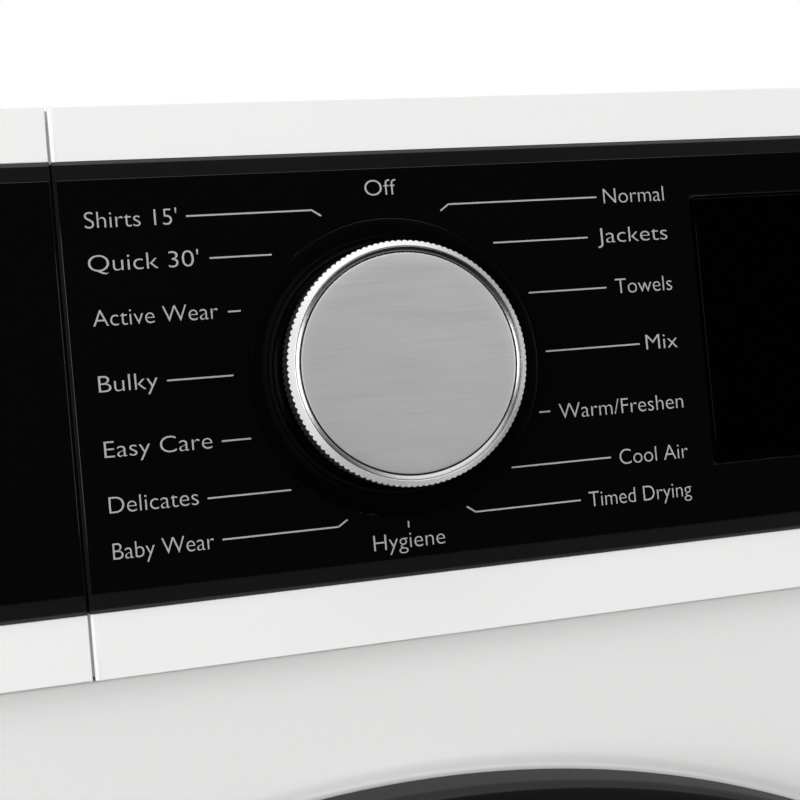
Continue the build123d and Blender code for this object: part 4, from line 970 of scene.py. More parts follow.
    def _buttons(self) -> None:
        """The buttons' caps with eased edges, and a plain mark on each."""
        for i in (1, 2, 3):
            node = f"option_button_{i}"
            cap = softened(node, 0.5 * MM, 3)
            install(cap, f"option_{i}", "gloss_black", stands_for=[node])
            low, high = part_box(node)
            place = (low + high) / 2
            dot = lathe(f"option_mark_{i}", (place.x, place.z),
                        [(0.55 * MM, low.y - 0.03 * MM), (0.9 * MM, low.y - 0.03 * MM),
                         (0.9 * MM, low.y + 0.1 * MM),
                         (0.55 * MM, low.y + 0.1 * MM)], 32)
            install(dot, f"option_{i}", "gloss_black", PRINT)
        low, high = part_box("start_button")
        place = (low + high) / 2
        radius = (high.x - low.x) / 2
        cap = lathe("start_button_finished", (place.x, place.z), [
            (0, low.y + 0.35 * MM), (radius - 3 * MM, low.y + 0.3 * MM), (radius - 1.6 * MM, low.y),
            (radius - 0.5 * MM, low.y + 0.1 * MM), (radius, low.y + 0.8 * MM), (radius, low.y + 8 * MM),
            (0, low.y + 8 * MM)])
        install(cap, "start", "gloss_black", stands_for=["start_button"])
        install(self._start_mark(place, low.y + 0.34 * MM), "start", "gloss_black", PRINT)

    def _start_mark(self, place: Vector, face: float) -> bpy.types.Object:
        """A triangle and two bars, the usual sign for start and pause.

        Args:
            place: the middle of the button's box.
            face: the cap's front.

        Returns:
            The mark.
        """
        size = self.mark_size
        bars = [rounded_box("bar", (place.x + dx, face - 0.06 * MM, place.z - size),
                            (place.x + dx + 0.8 * MM, face + 0.1 * MM, place.z + size), 0.02 * MM)
                for dx in (1.2 * MM, 3.2 * MM)]
        bm = bmesh.new()
        for y in (face - 0.06 * MM, face + 0.1 * MM):
            for x, z in ((-4.2 * MM, size), (-4.2 * MM, -size), (0.0, 0.0)):
                bm.verts.new((place.x + x, y, place.z + z))
        bmesh.ops.convex_hull(bm, input=bm.verts)
        return joined("start_mark", bars + [from_bmesh("triangle", bm)])


@dataclass
class Dial:
    """The knob: skirt, knurled rim with its diamond-cut bevel, inner ring and brushed disc."""

    teeth: int = 126
    facets: int = 6
    tooth: float = 0.36 * MM
    bevel: float = 1.32 * MM
    bevel_depth: float = 1.6 * MM
    wall: float = 7.6 * MM
    disc_radius: float = 22.8 * MM
    disc_step: float = 0.35 * MM
    roll_off: tuple[float, float] = (2.6 * MM, 0.16 * MM)
    skirt_inset: float = 2.0 * MM
    stem: float = 3.0 * MM

    def build(self) -> None:
        """Makes and installs the knob's pieces."""
        low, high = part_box("program_dial")
        self.axis = ((low.x + high.x) / 2, (low.z + high.z) / 2)
        self.radius = (high.x - low.x) / 2
        self.front = low.y
        self.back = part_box("dial_collar")[0].y + 2.2 * MM
        self.crown = self.radius - self.bevel
        self._skirt()
        self._rim()
        self._inner_ring()
        self._disc()

    def _skirt(self) -> None:
        """The dark moulded body behind the rim, with its stem."""
        r, f, end = self.radius - self.skirt_inset, self.front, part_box("program_dial")[1].y
        skirt = lathe("dial_skirt", self.axis, [
            (0, f + 2.4 * MM), (r, f + 2.4 * MM), (r, self.back - 1.2 * MM), (r - 0.5 * MM, self.back),
            (self.stem, self.back), (self.stem, end), (0, end)])
        install(skirt, "dial", "gloss_black", COLLAR_BLACK, stands_for=["program_dial"])

    def _rim(self) -> None:
        """The metal rim: one scalloped sector, repeated round the axis and welded."""
        f = self.front
        half = math.pi / self.teeth
        bm = bmesh.new()
        columns = []
        for k in range(self.facets + 1):
            share = 2 * k / self.facets - 1
            edge = self.radius - self.tooth * share * share
            meet = f + self.bevel_depth * (edge - self.crown) / self.bevel
            section = [(self.crown - 0.6 * MM, f + self.wall), (edge - 0.3 * MM, f + self.wall),
                       (edge, f + self.wall - 0.3 * MM), (edge, meet), (self.crown, f),
                       (self.crown - 0.1 * MM, f + 0.04 * MM), (self.crown - 0.12 * MM, f + 0.6 * MM),
                       (self.crown - 0.6 * MM, f + 0.6 * MM)]
            sine, cosine = math.sin(half * share), math.cos(half * share)
            columns.append([bm.verts.new((r * sine, y, r * cosine)) for r, y in section])
        for here, there in zip(columns, columns[1:]):
            for i in range(len(here)):
                j = (i + 1) % len(here)
                bm.faces.new((here[i], here[j], there[j], there[i]))
        bmesh.ops.recalc_face_normals(bm, faces=bm.faces)
        rim = ring_of("dial_rim", from_bmesh("rim_sector", bm), self.teeth, (self.axis[0], 0, self.axis[1]),
                      CUT_ALU, weld=0.01 * MM)
        bm = bmesh.new()
        bm.from_mesh(rim.data)
        bmesh.ops.recalc_face_normals(bm, faces=bm.faces)
        bm.to_mesh(rim.data)
        bm.free()
        install(smooth(rim, 26.0), "dial", "knob_metal", CUT_ALU)
        # The teeth's sideways faces take this dark copy of the aluminium: painted shade, chosen by which way
        # each face points.
        rim.data.materials.append(SHADED_KNURL_ALU.material())
        for face in rim.data.polygons:
            face.material_index = int(abs(face.normal.y) < 0.3 and face.center.y > self.front + 0.8 * MM)

    def _inner_ring(self) -> None:
        """The turned ring between the bevel and the disc, with a fine groove on each side of it."""
        f, outer, inner = self.front, self.crown - 0.12 * MM, self.disc_radius + 0.38 * MM
        ring = lathe("dial_inner_ring", self.axis, [
            (outer, f + 2.2 * MM), (outer, f + 0.5 * MM), (outer - 0.06 * MM, f + 0.16 * MM),
            (outer - 0.16 * MM, f + 0.12 * MM), (outer - 0.4 * MM, f + 0.22 * MM),
            (inner + 0.12 * MM, f + 0.42 * MM), (inner, f + 0.5 * MM),
            (inner - 0.1 * MM, f + 0.62 * MM), (self.disc_radius - 0.6 * MM, f + 0.62 * MM),
            (self.disc_radius - 0.6 * MM, f + 2.2 * MM)], 256)
        install(ring, "dial", "knob_metal", TURNED_ALU)

    def _disc(self) -> None:
        """The brushed disc, level over most of its face and rolled off softly near its edge."""
        r, f = self.disc_radius, self.front + self.disc_step
        reach, drop = self.roll_off
        rolled = [(r - 0.22 * MM - reach * (1 - k / 8), f + drop * (k / 8) ** 2) for k in range(9)]
        disc = lathe("dial_disc", self.axis, [(0, f)] + rolled + [
            (r - 0.08 * MM, f + 0.22 * MM), (r, f + 0.4 * MM), (r, f + 1.2 * MM), (0, f + 1.2 * MM)], 256)
        install(disc, "dial", "knob_metal", BRUSHED_ALU)


@dataclass
class Door:
    """The round door: ring, dome, inner frame and bowl."""

    record: dict[str, Any]
    steps: int = 288
    ring_width: float = 36.0 * MM
    ring_depth: float = 10.0 * MM
    ring_round: float = 2.5 * MM
    knuckle: tuple[float, float] = (6.4 * MM, 29.5 * MM)
    pin_inset: float = 6.0 * MM
    bowl_mouth: float = 150.0 * MM
    bowl_end: float = 140.0 * MM
    bowl_wall: float = 4.0 * MM
    bowl_corner: float = 9.0 * MM
    frame_rim: float = 8.0 * MM
    gasket: tuple[float, float] = (7.5 * MM, 2.0 * MM)

    def build(self) -> None:
        """Makes and installs the door's pieces."""
        low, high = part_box("door_ring")
        self.centre = (0.0, (low.z + high.z) / 2)
        self.radius = (high.z - low.z) / 2
        self.back = high.y
        self._ring()
        self._lens()
        self._inside()

    def _ring(self) -> None:
        """The outer ring with its soft front edge, finger undercut, hinge notch and knuckle."""
        r, back = self.radius, self.back
        bore = r - self.ring_width
        edge = back - self.ring_depth
        round_over = [(r - self.ring_round * (1 - math.cos(t)), edge - self.ring_round * math.sin(t))
                      for t in (math.pi / 2 * k / 6 for k in range(7))]
        outline = [(bore, back), (r - 0.6 * MM, back), (r, back - 0.6 * MM)] + round_over + [
            (bore + 1.2 * MM, edge - 6.8 * MM), (bore + 0.3 * MM, edge - 6.6 * MM), (bore, edge - 6.2 * MM)]
        ring = lathe("door_ring_finished", self.centre, outline, self.steps)
        low, high = opening(self.record, "door_finger_grip")
        undercut = rounded_box("tool", (-r - MM, back - 9.5 * MM, low.z),
                               (22 * MM - r, back + 5 * MM, high.z), 1.5 * MM)
        bracket_low, bracket_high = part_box("door_hinge_bracket")
        hinge_x = (bracket_low.x + bracket_high.x) / 2
        hinge_y = bracket_low.y + self.pin_inset
        reach = (bracket_high.z - bracket_low.z) / 2 + 1.5 * MM
        notch = rounded_box("tool", (hinge_x - 8 * MM, edge - 10 * MM, self.centre[1] - reach),
                            (r + MM, back + 5 * MM, self.centre[1] + reach), 0.8 * MM)
        cut(ring, [undercut, notch])
        barrel_radius, half = self.knuckle
        arm = rounded_box("tool", (hinge_x - 14 * MM, hinge_y, self.centre[1] - half),
                          (hinge_x, hinge_y + 5 * MM, self.centre[1] + half), 0.5 * MM)
        barrel = upright_bar("tool", (hinge_x, hinge_y), barrel_radius, self.centre[1] - half,
                             self.centre[1] + half)
        cut(ring, [arm, barrel], "UNION")
        install(ring, "door", "door_ring_abs", stands_for=["door_ring"])
        ring.data.materials.append(SATIN_BLACK.material())
        for face in ring.data.polygons:
            face.material_index = int(face.normal.y < -0.8 and face.center.y < edge - 2 * MM)

    def _lens(self) -> None:
        """The dark dome, with a fine lip where it meets the ring."""
        low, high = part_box("door_lens")
        radius = (high.z - low.z) / 2
        depth = high.y - low.y
        rise = [(radius * k / 24, low.y + depth * (k / 24) ** 2) for k in range(25)]
        lens = lathe("door_lens_finished", self.centre,
                     rise + [(radius, high.y + 1.5 * MM), (radius - 3 * MM, high.y + 1.5 * MM),
                             (0, high.y + MM)],
                     self.steps)
        install(lens, "door", "gloss_black", stands_for=["door_lens"])

    def _inside(self) -> None:
        """The inner frame, the glass bowl and the lipped gasket, turned finely, and the latch hook."""
        low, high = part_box("door_frame")
        outer, bowl = (high.x - low.x) / 2, self.bowl_mouth
        panel = high.y - self.frame_rim
        install(lathe("door_frame_finished", self.centre, [
            (outer, low.y), (outer, high.y - 1.5 * MM), (outer - 0.5 * MM, high.y - 0.5 * MM),
            (outer - 1.5 * MM, high.y), (bowl + 5 * MM, high.y), (bowl + 3.5 * MM, high.y - 0.6 * MM),
            (bowl + 3 * MM, high.y - 2 * MM), (bowl + 3 * MM, panel + 4 * MM),
            (bowl + 23 * MM, panel + 4 * MM),
            (bowl + 23 * MM, low.y)], self.steps), "door", "grey_plastic", stands_for=["door_frame"])
        low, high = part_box("door_glass")
        thick, end, flange = self.bowl_wall, self.bowl_end, panel + self.bowl_wall
        outside = [(bowl + 22 * MM, flange - thick), (bowl + 22 * MM, flange), (bowl + 3 * MM, flange)]
        outside += [(bowl - 1.6 * MM * k / 4, flange + 1.4 * MM * k / 4) for k in range(1, 5)]
        corner = self.bowl_corner
        outside += [(end - corner * (1 - math.cos(t)), high.y - corner * (1 - math.sin(t)))
                    for t in (math.pi / 2 * k / 6 for k in range(7))]
        back = [(0, high.y), (0, high.y - thick)]
        inside = [(end - thick - corner * (1 - math.sin(t)) * 0.8,
                   high.y - thick - corner * (1 - math.cos(t)) * 0.8)
                  for t in (math.pi / 2 * k / 6 for k in range(7))]
        glass = lathe("door_glass_finished", self.centre,
                      outside + back + inside + [(bowl - thick, flange - thick)], self.steps, angle=60.0)
        install(glass, "door", "bowl_glass", stands_for=["door_glass"])
        low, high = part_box("door_gasket")
        mouth = (high.x - low.x) / 2
        wide, lip = self.gasket
        lips = [(mouth - lip * (k % 2), low.y + (high.y - low.y) * k / 6) for k in range(7)]
        install(lathe("door_gasket_finished", self.centre,
                      lips + [(mouth - wide, high.y), (mouth - wide, low.y)],
                      self.steps), "door", "soft_rubber", stands_for=["door_gasket"])
        install(softened("door_hook", 0.5 * MM), "door", "bright_steel", stands_for=["door_hook"])


@dataclass
class Drum:
    """The drum's shell, its perforated back, its lifters and the mouth in front of it."""

    sheet: float = 0.8 * MM
    bead: float = 3.0 * MM
    bead_places: tuple[float, float] = (0.14, 0.30)
    neck: float = 12.0 * MM
    lip: float = 40.0 * MM
    shoulder: float = 28.0 * MM
    shaft: float = 12.0 * MM
    hole: float = 3.2 * MM
    hole_rows: tuple[tuple[float, int], ...] = ((0.085, 36), (0.105, 44), (0.125, 54), (0.145, 62),
                                                (0.165, 72), (0.185, 80), (0.205, 90))

    def build(self) -> None:
        """Makes and installs the pieces seen through the open door."""
        low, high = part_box("drum")
        self.axis = ((low.x + high.x) / 2, (low.z + high.z) / 2)
        self.radius, self.front, self.back = (high.x - low.x) / 2, low.y, high.y
        self._shell()
        self._perforations()
        for node, body, slot in (("drum_lifters", "drum", "lifter_plastic"),
                                 ("moisture_strips", "root", "drum_steel"),
                                 ("drum_lamp", "root", "lamp_lens"), ("lint_filter", "root", "grey_plastic"),
                                 ("door_lock", "root", "grey_plastic")):
            install(softened(node, 0.3 * MM, 2, 50.0), body, slot, stands_for=[node])

    def _shell(self) -> None:
        """The stainless shell: rolled lip, neck, a wall with two pressed beads, and the back."""
        r, t = self.radius, self.sheet
        neck, lip, shoulder = r - self.neck, r - self.lip, self.front + self.shoulder
        walls = [(neck, self.front + 1.5 * MM), (neck, shoulder - 2 * MM),
                 (neck + 0.8 * MM, shoulder - 0.4 * MM),
                 (r - 2 * MM, shoulder), (r - 0.5 * MM, shoulder + 0.5 * MM), (r, shoulder + 2 * MM)]
        for place in self.bead_places:
            walls += [(r - self.bead * math.sin(math.pi * k / 8), self.front + place + (k - 4) * 1.5 * MM)
                      for k in range(9)]
        walls += [(r, self.back - 2 * MM), (r - 0.6 * MM, self.back - 0.6 * MM), (r - 2 * MM, self.back),
                  (self.shaft, self.back)]
        outer = [(lip + 0.5 * MM, self.front), (neck - 1.5 * MM, self.front)] + walls
        inner = [(max(radius - t, self.shaft), y) for radius, y in walls[:-1]]
        near, far = self.front + self.shoulder + MM, self.back - 3 * MM
        inner = [(radius, y + (t if y < near else -t if y > far else 0.0)) for radius, y in inner]
        inside = [(self.shaft, self.back - t)] + list(reversed(inner)) + [
            (neck - 1.5 * MM, self.front + t), (lip + 0.5 * MM, self.front + t), (lip, self.front + t / 2)]
        install(lathe("drum_shell", self.axis, outer + inside, 256), "drum", "drum_steel",
                stands_for=["drum"])

    def _perforations(self) -> None:
        """Rings of round holes in the back, drawn as dark discs that stand 0.05 mm proud of the sheet:
        painted shade for the dark seen through each hole.
        """
        face = self.back - self.sheet
        rings = []
        for radius, count in self.hole_rows:
            hole = lathe("hole", (0.0, radius), [(0, face - 0.05 * MM), (self.hole, face - 0.05 * MM),
                                                 (self.hole, face + 0.3 * MM), (0, face + 0.3 * MM)], 12)
            rings.append(ring_of("holes", hole, count, (self.axis[0], 0, self.axis[1]), BLACK_PLASTIC_AND_HOLE_SHADE))
        install(joined("drum_perforations", rings), "drum", "drum_steel", BLACK_PLASTIC_AND_HOLE_SHADE)


@dataclass
class Rear:
    """The back of the casing: screws, louvres, bulge and gland; and the feet underneath."""

    screw: float = 4.2 * MM
    screw_seat: float = 9.5 * MM
    head: float = 2.4 * MM
    hood: tuple[float, float, float] = (8 * MM, 80 * MM, 3.2 * MM)
    pitch: float = 18 * MM
    hoods: int = 8
    hood_start: tuple[float, float, float] = (60.0 * MM, 0.0, 44.0 * MM)
    hood_wall: float = 0.7 * MM
    bulge_round: float = 2.5 * MM
    gland_bore: float = 4.5 * MM
    gland_nose: float = 8.9 * MM
    foot: float = 20.0 * MM
    stem: float = 5.0 * MM
    thread: float = 0.75 * MM
    nut: float = 9.0 * MM

    def build(self) -> None:
        """Makes and installs the rear pieces and the feet."""
        self._panel()
        self._screws()
        self._louvres()
        self._gland()
        self._feet()

    def _panel(self) -> None:
        """The rear sheet, with the rim of its bulge drawn to a soft radius."""
        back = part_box("rear_panel")[1].y

        def at_rim(a: Vector, b: Vector) -> bool:
            """Whether an edge lies on the bulge's outer rim."""
            return min(a.y, b.y) > back - 0.05 * MM

        panel = softened("rear_panel", 0.0, wide=(self.bulge_round, at_rim))
        install(panel, "root", "galvanised_steel", stands_for=["rear_panel"])

    def _screws(self) -> None:
        """Pan-head screws with a cross recess, at the CAD's places."""
        low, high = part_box("casing_screws")
        across = middle("casing_screws")
        heights = sorted({round(v.co.z / MM) for v in bpy.data.objects["casing_screws"].data.vertices})
        centres = [heights[0] * MM + self.screw]
        for z in heights:
            if z * MM - centres[-1] > 30 * MM:
                centres.append(z * MM + self.screw)
        top, r, seat = high.y, self.screw, low.y + self.screw_seat
        head = lathe("screw", (0.0, 0.0), [(0, top), (r * 0.45, top - 0.05 * MM), (r * 0.85, top - 0.5 * MM),
                                           (r, top - 1.2 * MM), (r, seat), (0, seat)], 24)
        slots = [rounded_box("tool", (-a, top - 1.1 * MM, -b), (a, top + MM, b), 0.1 * MM)
                 for a, b in ((0.5 * r, 0.13 * r), (0.13 * r, 0.5 * r))]
        cut(head, slots)
        places = [(across.x + side * ((high.x - low.x) / 2 - r), 0.0, z) for side in (-1, 1) for z in centres]
        screws = copies_at("rear_screws", head, places, BRIGHT_STEEL)
        install(smooth(screws), "root", "bright_steel", stands_for=["casing_screws"])

    def _louvres(self) -> None:
        """A pressed hood over each air slot."""
        width, height, rise = self.hood
        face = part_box("casing_screws")[1].y - self.head
        bm = bmesh.new()
        rows = []
        for k in range(7):
            turn = math.pi / 2 * k / 6
            x, y = width * (1 - math.sin(turn)), face + rise * (1 - (1 - math.sin(turn)) ** 2)
            ends = 2.5 * MM * (1 - math.sin(turn))
            rows.append([bm.verts.new((x, y, z)) for z in (ends, height - ends)])
        for here, there in zip(rows, rows[1:]):
            bm.faces.new((here[0], here[1], there[1], there[0]))
        bmesh.ops.recalc_face_normals(bm, faces=bm.faces)
        hood = from_bmesh("hood", bm)
        wall = hood.modifiers.new("wall", "SOLIDIFY")
        wall.thickness = self.hood_wall
        applied(hood)
        hoods = row_of("rear_louvres", hood, self.hoods, (self.pitch, 0, 0), GALVANISED, self.hood_start)
        install(smooth(hoods), "root", "galvanised_steel")

    def _gland(self) -> None:
        """The cable gland, with a ribbed nose."""
        low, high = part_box("power_inlet")
        place = middle("power_inlet")
        flange, bore, tip = (high.x - low.x) / 2, self.gland_bore, self.gland_nose
        seat = high.y - 9 * MM
        nose = [(tip - (0.7 * MM if k % 2 else 0.0), seat + 4.2 * MM + k * 0.55 * MM) for k in range(8)]
        gland = lathe("cable_gland", (place.x, place.z), [
            (bore, low.y), (tip, low.y), (tip, seat), (flange, seat), (flange, seat + 3 * MM),
            (flange - MM, seat + 4 * MM)] + nose + [(7.6 * MM, high.y), (bore + 0.4 * MM, high.y),
                                                   (bore, high.y - 0.4 * MM)], 96)
        install(gland, "root", "dark_plastic", stands_for=["power_inlet"])

    def _feet(self) -> None:
        """Four rubber-soled feet with threaded stems and lock nuts."""
        low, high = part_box("levelling_feet")
        r, top, sole = self.foot, high.z, 8 * MM
        thread = [(self.stem - (0.5 * MM if k % 2 else 0.0), sole + k * self.thread)
                  for k in range(int((top - sole) / self.thread))]
        foot = lathe("foot", (0.0, 0.0), [(0, 0), (r - MM, 0), (r, MM), (r, 5 * MM), (r - MM, 6 * MM),
                                          (14 * MM, 6.4 * MM),
                                          (13.6 * MM, 8 * MM)] + thread + [(0, top)], 48, True)
        bm = bmesh.new()
        bmesh.ops.create_cone(bm, cap_ends=True, segments=6, radius1=self.nut, radius2=self.nut,
                              depth=5.5 * MM, matrix=Matrix.Translation((0, 0, 11.2 * MM)))
        bmesh.ops.bevel(bm, geom=bm.edges, offset=0.4 * MM, segments=2, affect="EDGES", profile=0.5)
        nut = from_bmesh("nut", bm)
        places = [(x, y, 0.0) for x in (low.x + r, high.x - r) for y in (low.y + r, high.y - r)]
        feet = copies_at("levelling_feet_finished", joined("foot_and_nut", [foot, nut]), places, BRIGHT_STEEL)
        install(smooth(feet), "root", "dark_plastic", stands_for=["levelling_feet"])


@dataclass
class WaterAndAir:
    """What shows when the drawer or the flap is open: the tank, its shelf, the condenser and its lock."""

    ribs: int = 9
    rib_margin: float = 8.0 * MM

    def build(self) -> None:
        """Makes and installs the tank, the shelf and the condenser's face."""
        for node, body, slot, width in (
                ("water_tank", "drawer", "tank_plastic", 0.8 * MM),
                ("drawer_shelf", "root", "grey_plastic", 0.4 * MM),
                ("condenser", "root", "aluminium_fins", 0.8 * MM),
                ("condenser_lock", "lock_lever", "grey_plastic", 0.8 * MM),
                ("door_hinge_bracket", "root", "bright_steel", 0.2 * MM)):
            install(softened(node, width, 2, 50.0), body, slot, stands_for=[node])
        low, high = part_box("condenser")
        lock_low, lock_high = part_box("condenser_lock")
        span = (lock_low.x - low.x) - 2 * self.rib_margin
        for name, edge in (("condenser_ribs_left", low.x), ("condenser_ribs_right", lock_high.x)):
            start = edge + self.rib_margin
            rib = rounded_box("rib", (start, low.y - 1.5 * MM, low.z + 10 * MM),
                              (start + span, low.y + MM, low.z + 12.5 * MM), 0.8 * MM)
            step = (high.z - low.z - 22 * MM) / (self.ribs - 1)
            install(smooth(row_of(name, rib, self.ribs, (0, 0, step), GREY_PLASTIC)), "root",
                    "aluminium_fins")


def upright_bar(name: str, place: Sequence[float], radius: float, low: float,
                high: float) -> bpy.types.Object:
    """A round bar along Z.

    Args:
        name: the piece's name.
        place: x and y of its axis, in metres.
        radius: its radius.
        low: the height of its bottom.
        high: the height of its top.

    Returns:
        The new piece.
    """
    bm = bmesh.new()
    bmesh.ops.create_cone(bm, cap_ends=True, segments=48, radius1=radius, radius2=radius, depth=high - low,
                          matrix=Matrix.Translation((place[0], place[1], (low + high) / 2)))
    return smooth(from_bmesh(name, bm))


@dataclass
class Casing:
    """The white outer pieces, with their edges eased."""

    seam_roll: tuple[float, float] = (1.3 * MM, 0.7 * MM)
    sheet: float = 1.0 * MM
    hole_gap: float = 9.12 * MM
    turned_rim: float = 6.0 * MM
    groove_out: float = 1.0 * MM
    groove_outer: float = 2.2 * MM
    groove_inner: float = 0.9 * MM
    groove_depth: float = 0.1 * MM
    relief: tuple[float, float, float] = (45 * MM, 3 * MM, 1.2 * MM)
    steps: int = 288

    def build(self) -> None:
        """Makes and installs the casing's pieces."""
        for node, body, slot, width in (
                ("drawer_front", "drawer", "white_abs", 0.2 * MM),
                ("kick_plate", "root", "white_abs", 0.5 * MM),
                ("condenser_flap", "flap", "white_abs", 0.5 * MM),
                ("worktop", "root", "white_laminate", 0.6 * MM)):
            install(softened(node, width), body, slot, stands_for=[node])
        self._fascia()
        self._front()
        for node in ("left_side_panel", "right_side_panel"):
            self._side(node)

    def _fascia(self) -> None:
        """The fascia, rolled over at the seam, where it catches a bright line of light."""
        low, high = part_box("control_fascia")
        trim_low, trim_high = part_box("fascia_trim")
        wide, deep = self.seam_roll
        roll = [(low.x + wide * (1 - math.sin(t)), low.y + deep * (1 - math.cos(t)))
                for t in (math.pi / 2 * k / 10 for k in range(11))]
        outline = [(low.x - MM, low.y - MM), (low.x + wide, low.y - MM)] + roll + [(low.x - MM, low.y + deep)]
        fascia = softened("control_fascia", 0.2 * MM)
        cut(fascia, [prism("tool", outline, low.z - MM, trim_low.z),
                     prism("tool", outline, trim_high.z, high.z + MM)])
        install(fascia, "root", "white_abs", stands_for=["control_fascia"])

    def _front(self) -> None:
        """The front sheet: its flat part from the CAD, and the rolled lip and groove turned finely."""
        low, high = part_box("front_panel")
        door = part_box("door_ring")
        axis = ((low.x + high.x) / 2, (door[0].z + door[1].z) / 2)
        middle_r, y, t = (door[1].z - door[0].z) / 2 + self.groove_out, low.y, self.sheet
        deep, wide, tight = self.groove_depth, self.groove_outer, self.groove_inner
        hole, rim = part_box("door_lens")[1].z - axis[1] + self.hole_gap, middle_r + wide + self.turned_rim

        def on_outline(a: Vector, b: Vector) -> bool:
            """Whether an edge is on the sheet's outer front outline."""
            return all(v.y < y + 0.01 * MM and (v.xz - Vector(axis)).length > rim + 5 * MM for v in (a, b))

        sheet = softened("front_panel", 0.0, wide=(0.8 * MM, on_outline))
        near, far = y - MM, high.y + MM
        cut(sheet, [lathe("tool", axis, [(0, near), (rim, near), (rim, far), (0, far)], self.steps)])
        press = [(middle_r + (wide if k > 0 else tight) * k / 8,
                  y + deep * (1 + math.cos(math.pi * k / 8)) / 2)
                 for k in range(-8, 9)]
        lip = [(hole + 1.5 * MM * (1 - math.sin(a)), y + 1.5 * MM * (1 - math.cos(a)))
               for a in (math.pi / 2 * (6 - k) / 6 for k in range(7))]
        front = lip + [(middle_r - tight - MM, y)] + press + [(middle_r + wide + MM, y), (rim + 0.5 * MM, y)]
        back = [(rim + 0.5 * MM, y + t), (middle_r + wide, y + t), (middle_r, y + t + deep),
                (middle_r - tight, y + t), (hole + 1.5 * MM, y + t), (hole + t, y + 1.5 * MM)]
        ring = lathe("ring", axis, [(hole, high.y)] + front + back + [(hole + t, high.y)], self.steps)
        sheet = cut(sheet, [ring], "UNION")
        install(smooth(sheet, 25.0), "root", "white_steel", stands_for=["front_panel"])

    def _side(self, node: str) -> None:
        """A side panel with a stiffening relief pressed inwards, on both faces of its sheet.

        Args:
            node: the panel's CAD node.
        """
        margin, slope, depth = self.relief
        piece = softened(node, 0.45 * MM)
        bm = bmesh.new()
        bm.from_mesh(piece.data)
        flats = sorted(bm.faces, key=lambda f: f.calc_area(), reverse=True)[:2]
        inwards = 1.0 if flats[0].calc_center_median().x < 0 else -1.0
        for face in flats:
            bmesh.ops.inset_region(bm, faces=[face], thickness=margin, depth=0.0)
            bmesh.ops.inset_region(bm, faces=[face], thickness=slope, depth=0.0)
            for vert in face.verts:
                vert.co.x += inwards * depth
        bm.to_mesh(piece.data)
        bm.free()
        install(smooth(piece, 18.0), "root", "white_steel", stands_for=[node])


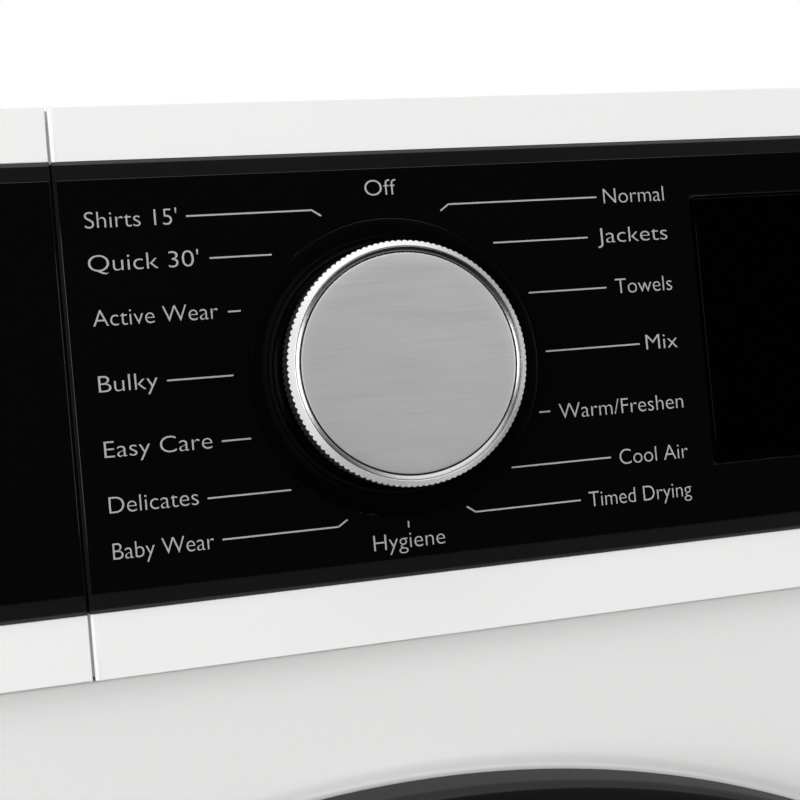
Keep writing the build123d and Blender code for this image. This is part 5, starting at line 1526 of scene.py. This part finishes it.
@dataclass
class Studio:
    """The floor, the lights, the world and the camera."""

    camera_from_dial: tuple[float, float, float] = (-0.07095, -0.27145, -0.01214)
    yaw: float = 14.68
    pitch: float = 1.01
    roll: float = -5.18
    lens: float = 59.08

    def build(self) -> None:
        """Sets the stage."""
        self._floor()
        self._world()
        self._lights()
        self._camera()
        bpy.context.scene.view_settings.view_transform = "Standard"

    def _floor(self) -> None:
        """A large pale floor, kept out of the object's reflections and of the light that bounces onto it."""
        floor = rounded_box("studio_floor", (-6, -6, -0.05), (6, 6, 0.0), 0.02)
        # Painted floor: an even pale tone that lets the feet and the soft shadows stand out.
        finish = Finish("pale_floor", "#e9e9e8", Surface.MOULDED, 0.55, grain_mm=8, depth_mm=0.02,
                        mottle=0.01)
        floor.data.materials.append(finish.material())
        floor.visible_glossy = floor.visible_diffuse = False

    def _world(self) -> None:
        """White to the camera; to the object, bright above and behind, and dim in front for the black."""
        world = bpy.data.worlds.new("studio")
        world.use_nodes = True
        tree = world.node_tree
        tree.nodes.clear()
        facing = add_node(tree, "ShaderNodeTexCoord").outputs["Generated"]
        split = add_node(tree, "ShaderNodeSeparateXYZ", links={0: facing})
        level = add_node(tree, "ShaderNodeMapRange", {"interpolation_type": "SMOOTHSTEP"},
                         {0: split.outputs["Z"], 1: 0.45, 2: 0.85, 3: 0.0, 4: 1.0}).outputs[0]
        behind = add_node(tree, "ShaderNodeMapRange", {"interpolation_type": "SMOOTHSTEP"},
                          {0: split.outputs["Y"], 1: -0.55, 2: 0.1, 3: 0.0, 4: 1.0}).outputs[0]
        bright = add_node(tree, "ShaderNodeMath", {"operation": "MAXIMUM"}, {0: level, 1: behind}).outputs[0]
        strength = add_node(tree, "ShaderNodeMapRange", links={0: bright, 1: 0.0, 2: 1.0, 3: 0.004, 4: 0.95})
        seen = add_node(tree, "ShaderNodeBackground", links={"Color": (1, 1, 1, 1), "Strength": 1.0})
        felt = add_node(tree, "ShaderNodeBackground", links={"Color": (1, 1, 1, 1),
                                                             "Strength": strength.outputs[0]})
        path = add_node(tree, "ShaderNodeLightPath")
        mix = add_node(tree, "ShaderNodeMixShader",
                       links={0: path.outputs["Is Camera Ray"], 1: felt.outputs[0],
                                                           2: seen.outputs[0]})
        out = add_node(tree, "ShaderNodeOutputWorld")
        tree.links.new(mix.outputs[0], out.inputs["Surface"])
        bpy.context.scene.world = world

    def _lights(self) -> None:
        """Soft boxes above and at both sides, clear of what the panel mirrors to the camera."""
        boxes = {
            "front_box": ((0.0, -2.4, 0.8), (90, 0, 0), (2.0, 1.5), 16.5),
            "top_box": ((-0.2, -1.3, 2.3), (35, 0, 0), (2.4, 1.4), 12.0),
            "left_box": ((-2.0, -1.7, 0.9), (88, 0, -50), (1.3, 1.5), 34.0),
            "right_box": ((2.6, -1.5, 0.9), (88, 0, 62), (1.3, 1.5), 26.0),
            "back_box": ((0.4, 2.2, 1.9), (60, 0, 172), (2.2, 1.4), 20.0),
        }
        for name, (place, turn, size, power) in boxes.items():
            light = bpy.data.lights.new(name, "AREA")
            light.shape = "RECTANGLE"
            light.size, light.size_y = size
            light.energy = power
            lamp = bpy.data.objects.new(name, light)
            lamp.location = place
            lamp.rotation_euler = Euler([math.radians(a) for a in turn])
            lamp.visible_glossy = name != "front_box"
            bpy.context.scene.collection.objects.link(lamp)

    def _camera(self) -> None:
        """The camera close to the dial, turned to the right and rolled a little."""
        low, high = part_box("program_dial")
        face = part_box("control_fascia")[0].y
        dial = Vector(((low.x + high.x) / 2, face, (low.z + high.z) / 2))
        yaw, pitch, roll = (math.radians(a) for a in (self.yaw, self.pitch, self.roll))
        forward = Vector((math.sin(yaw) * math.cos(pitch), math.cos(yaw) * math.cos(pitch), math.sin(pitch)))
        level = Vector((math.cos(yaw), -math.sin(yaw), 0.0))
        upright = level.cross(forward)
        right = level * math.cos(roll) + upright * math.sin(roll)
        up = upright * math.cos(roll) - level * math.sin(roll)
        data = bpy.data.cameras.new("camera")
        data.lens = self.lens
        data.sensor_width = 36.0
        data.clip_start = 0.01
        camera = bpy.data.objects.new("camera", data)
        turn = Matrix((right, up, -forward)).transposed()
        camera.matrix_world = Matrix.Translation(dial + Vector(self.camera_from_dial)) @ turn.to_4x4()
        bpy.context.scene.collection.objects.link(camera)
        bpy.context.scene.camera = camera


def dress_nodes(frame: dict[str, Any]) -> None:
    """Gives every CAD node that still shows the material of its slot.

    Args:
        frame: the loaded frame.
    """
    slots = {part["node"]: part["material_slot"] for part in frame["record"]["subparts"]}
    for name, node in frame["nodes"].items():
        if not node.hide_render:
            node.data.materials.clear()
            node.data.materials.append(SLOT_FINISH[slots[name]].material())


def corners(box: Sequence[Vector]) -> list[list[float]]:
    """A box's two corners as plain lists."""
    return [[float(c) for c in corner] for corner in box]


def main() -> None:
    """Builds the machine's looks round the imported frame."""
    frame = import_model()
    record = frame["record"]
    Studio().build()
    for part in (Casing(), ControlPanel(record), Dial(), Door(record), Drum(), Rear(), WaterAndAir()):
        LOG.info("building %s", type(part).__name__)
        part.build()
    dress_nodes(frame)


if __name__ == "__main__":
    logging.basicConfig(level=logging.INFO, format="%(message)s")
    main()
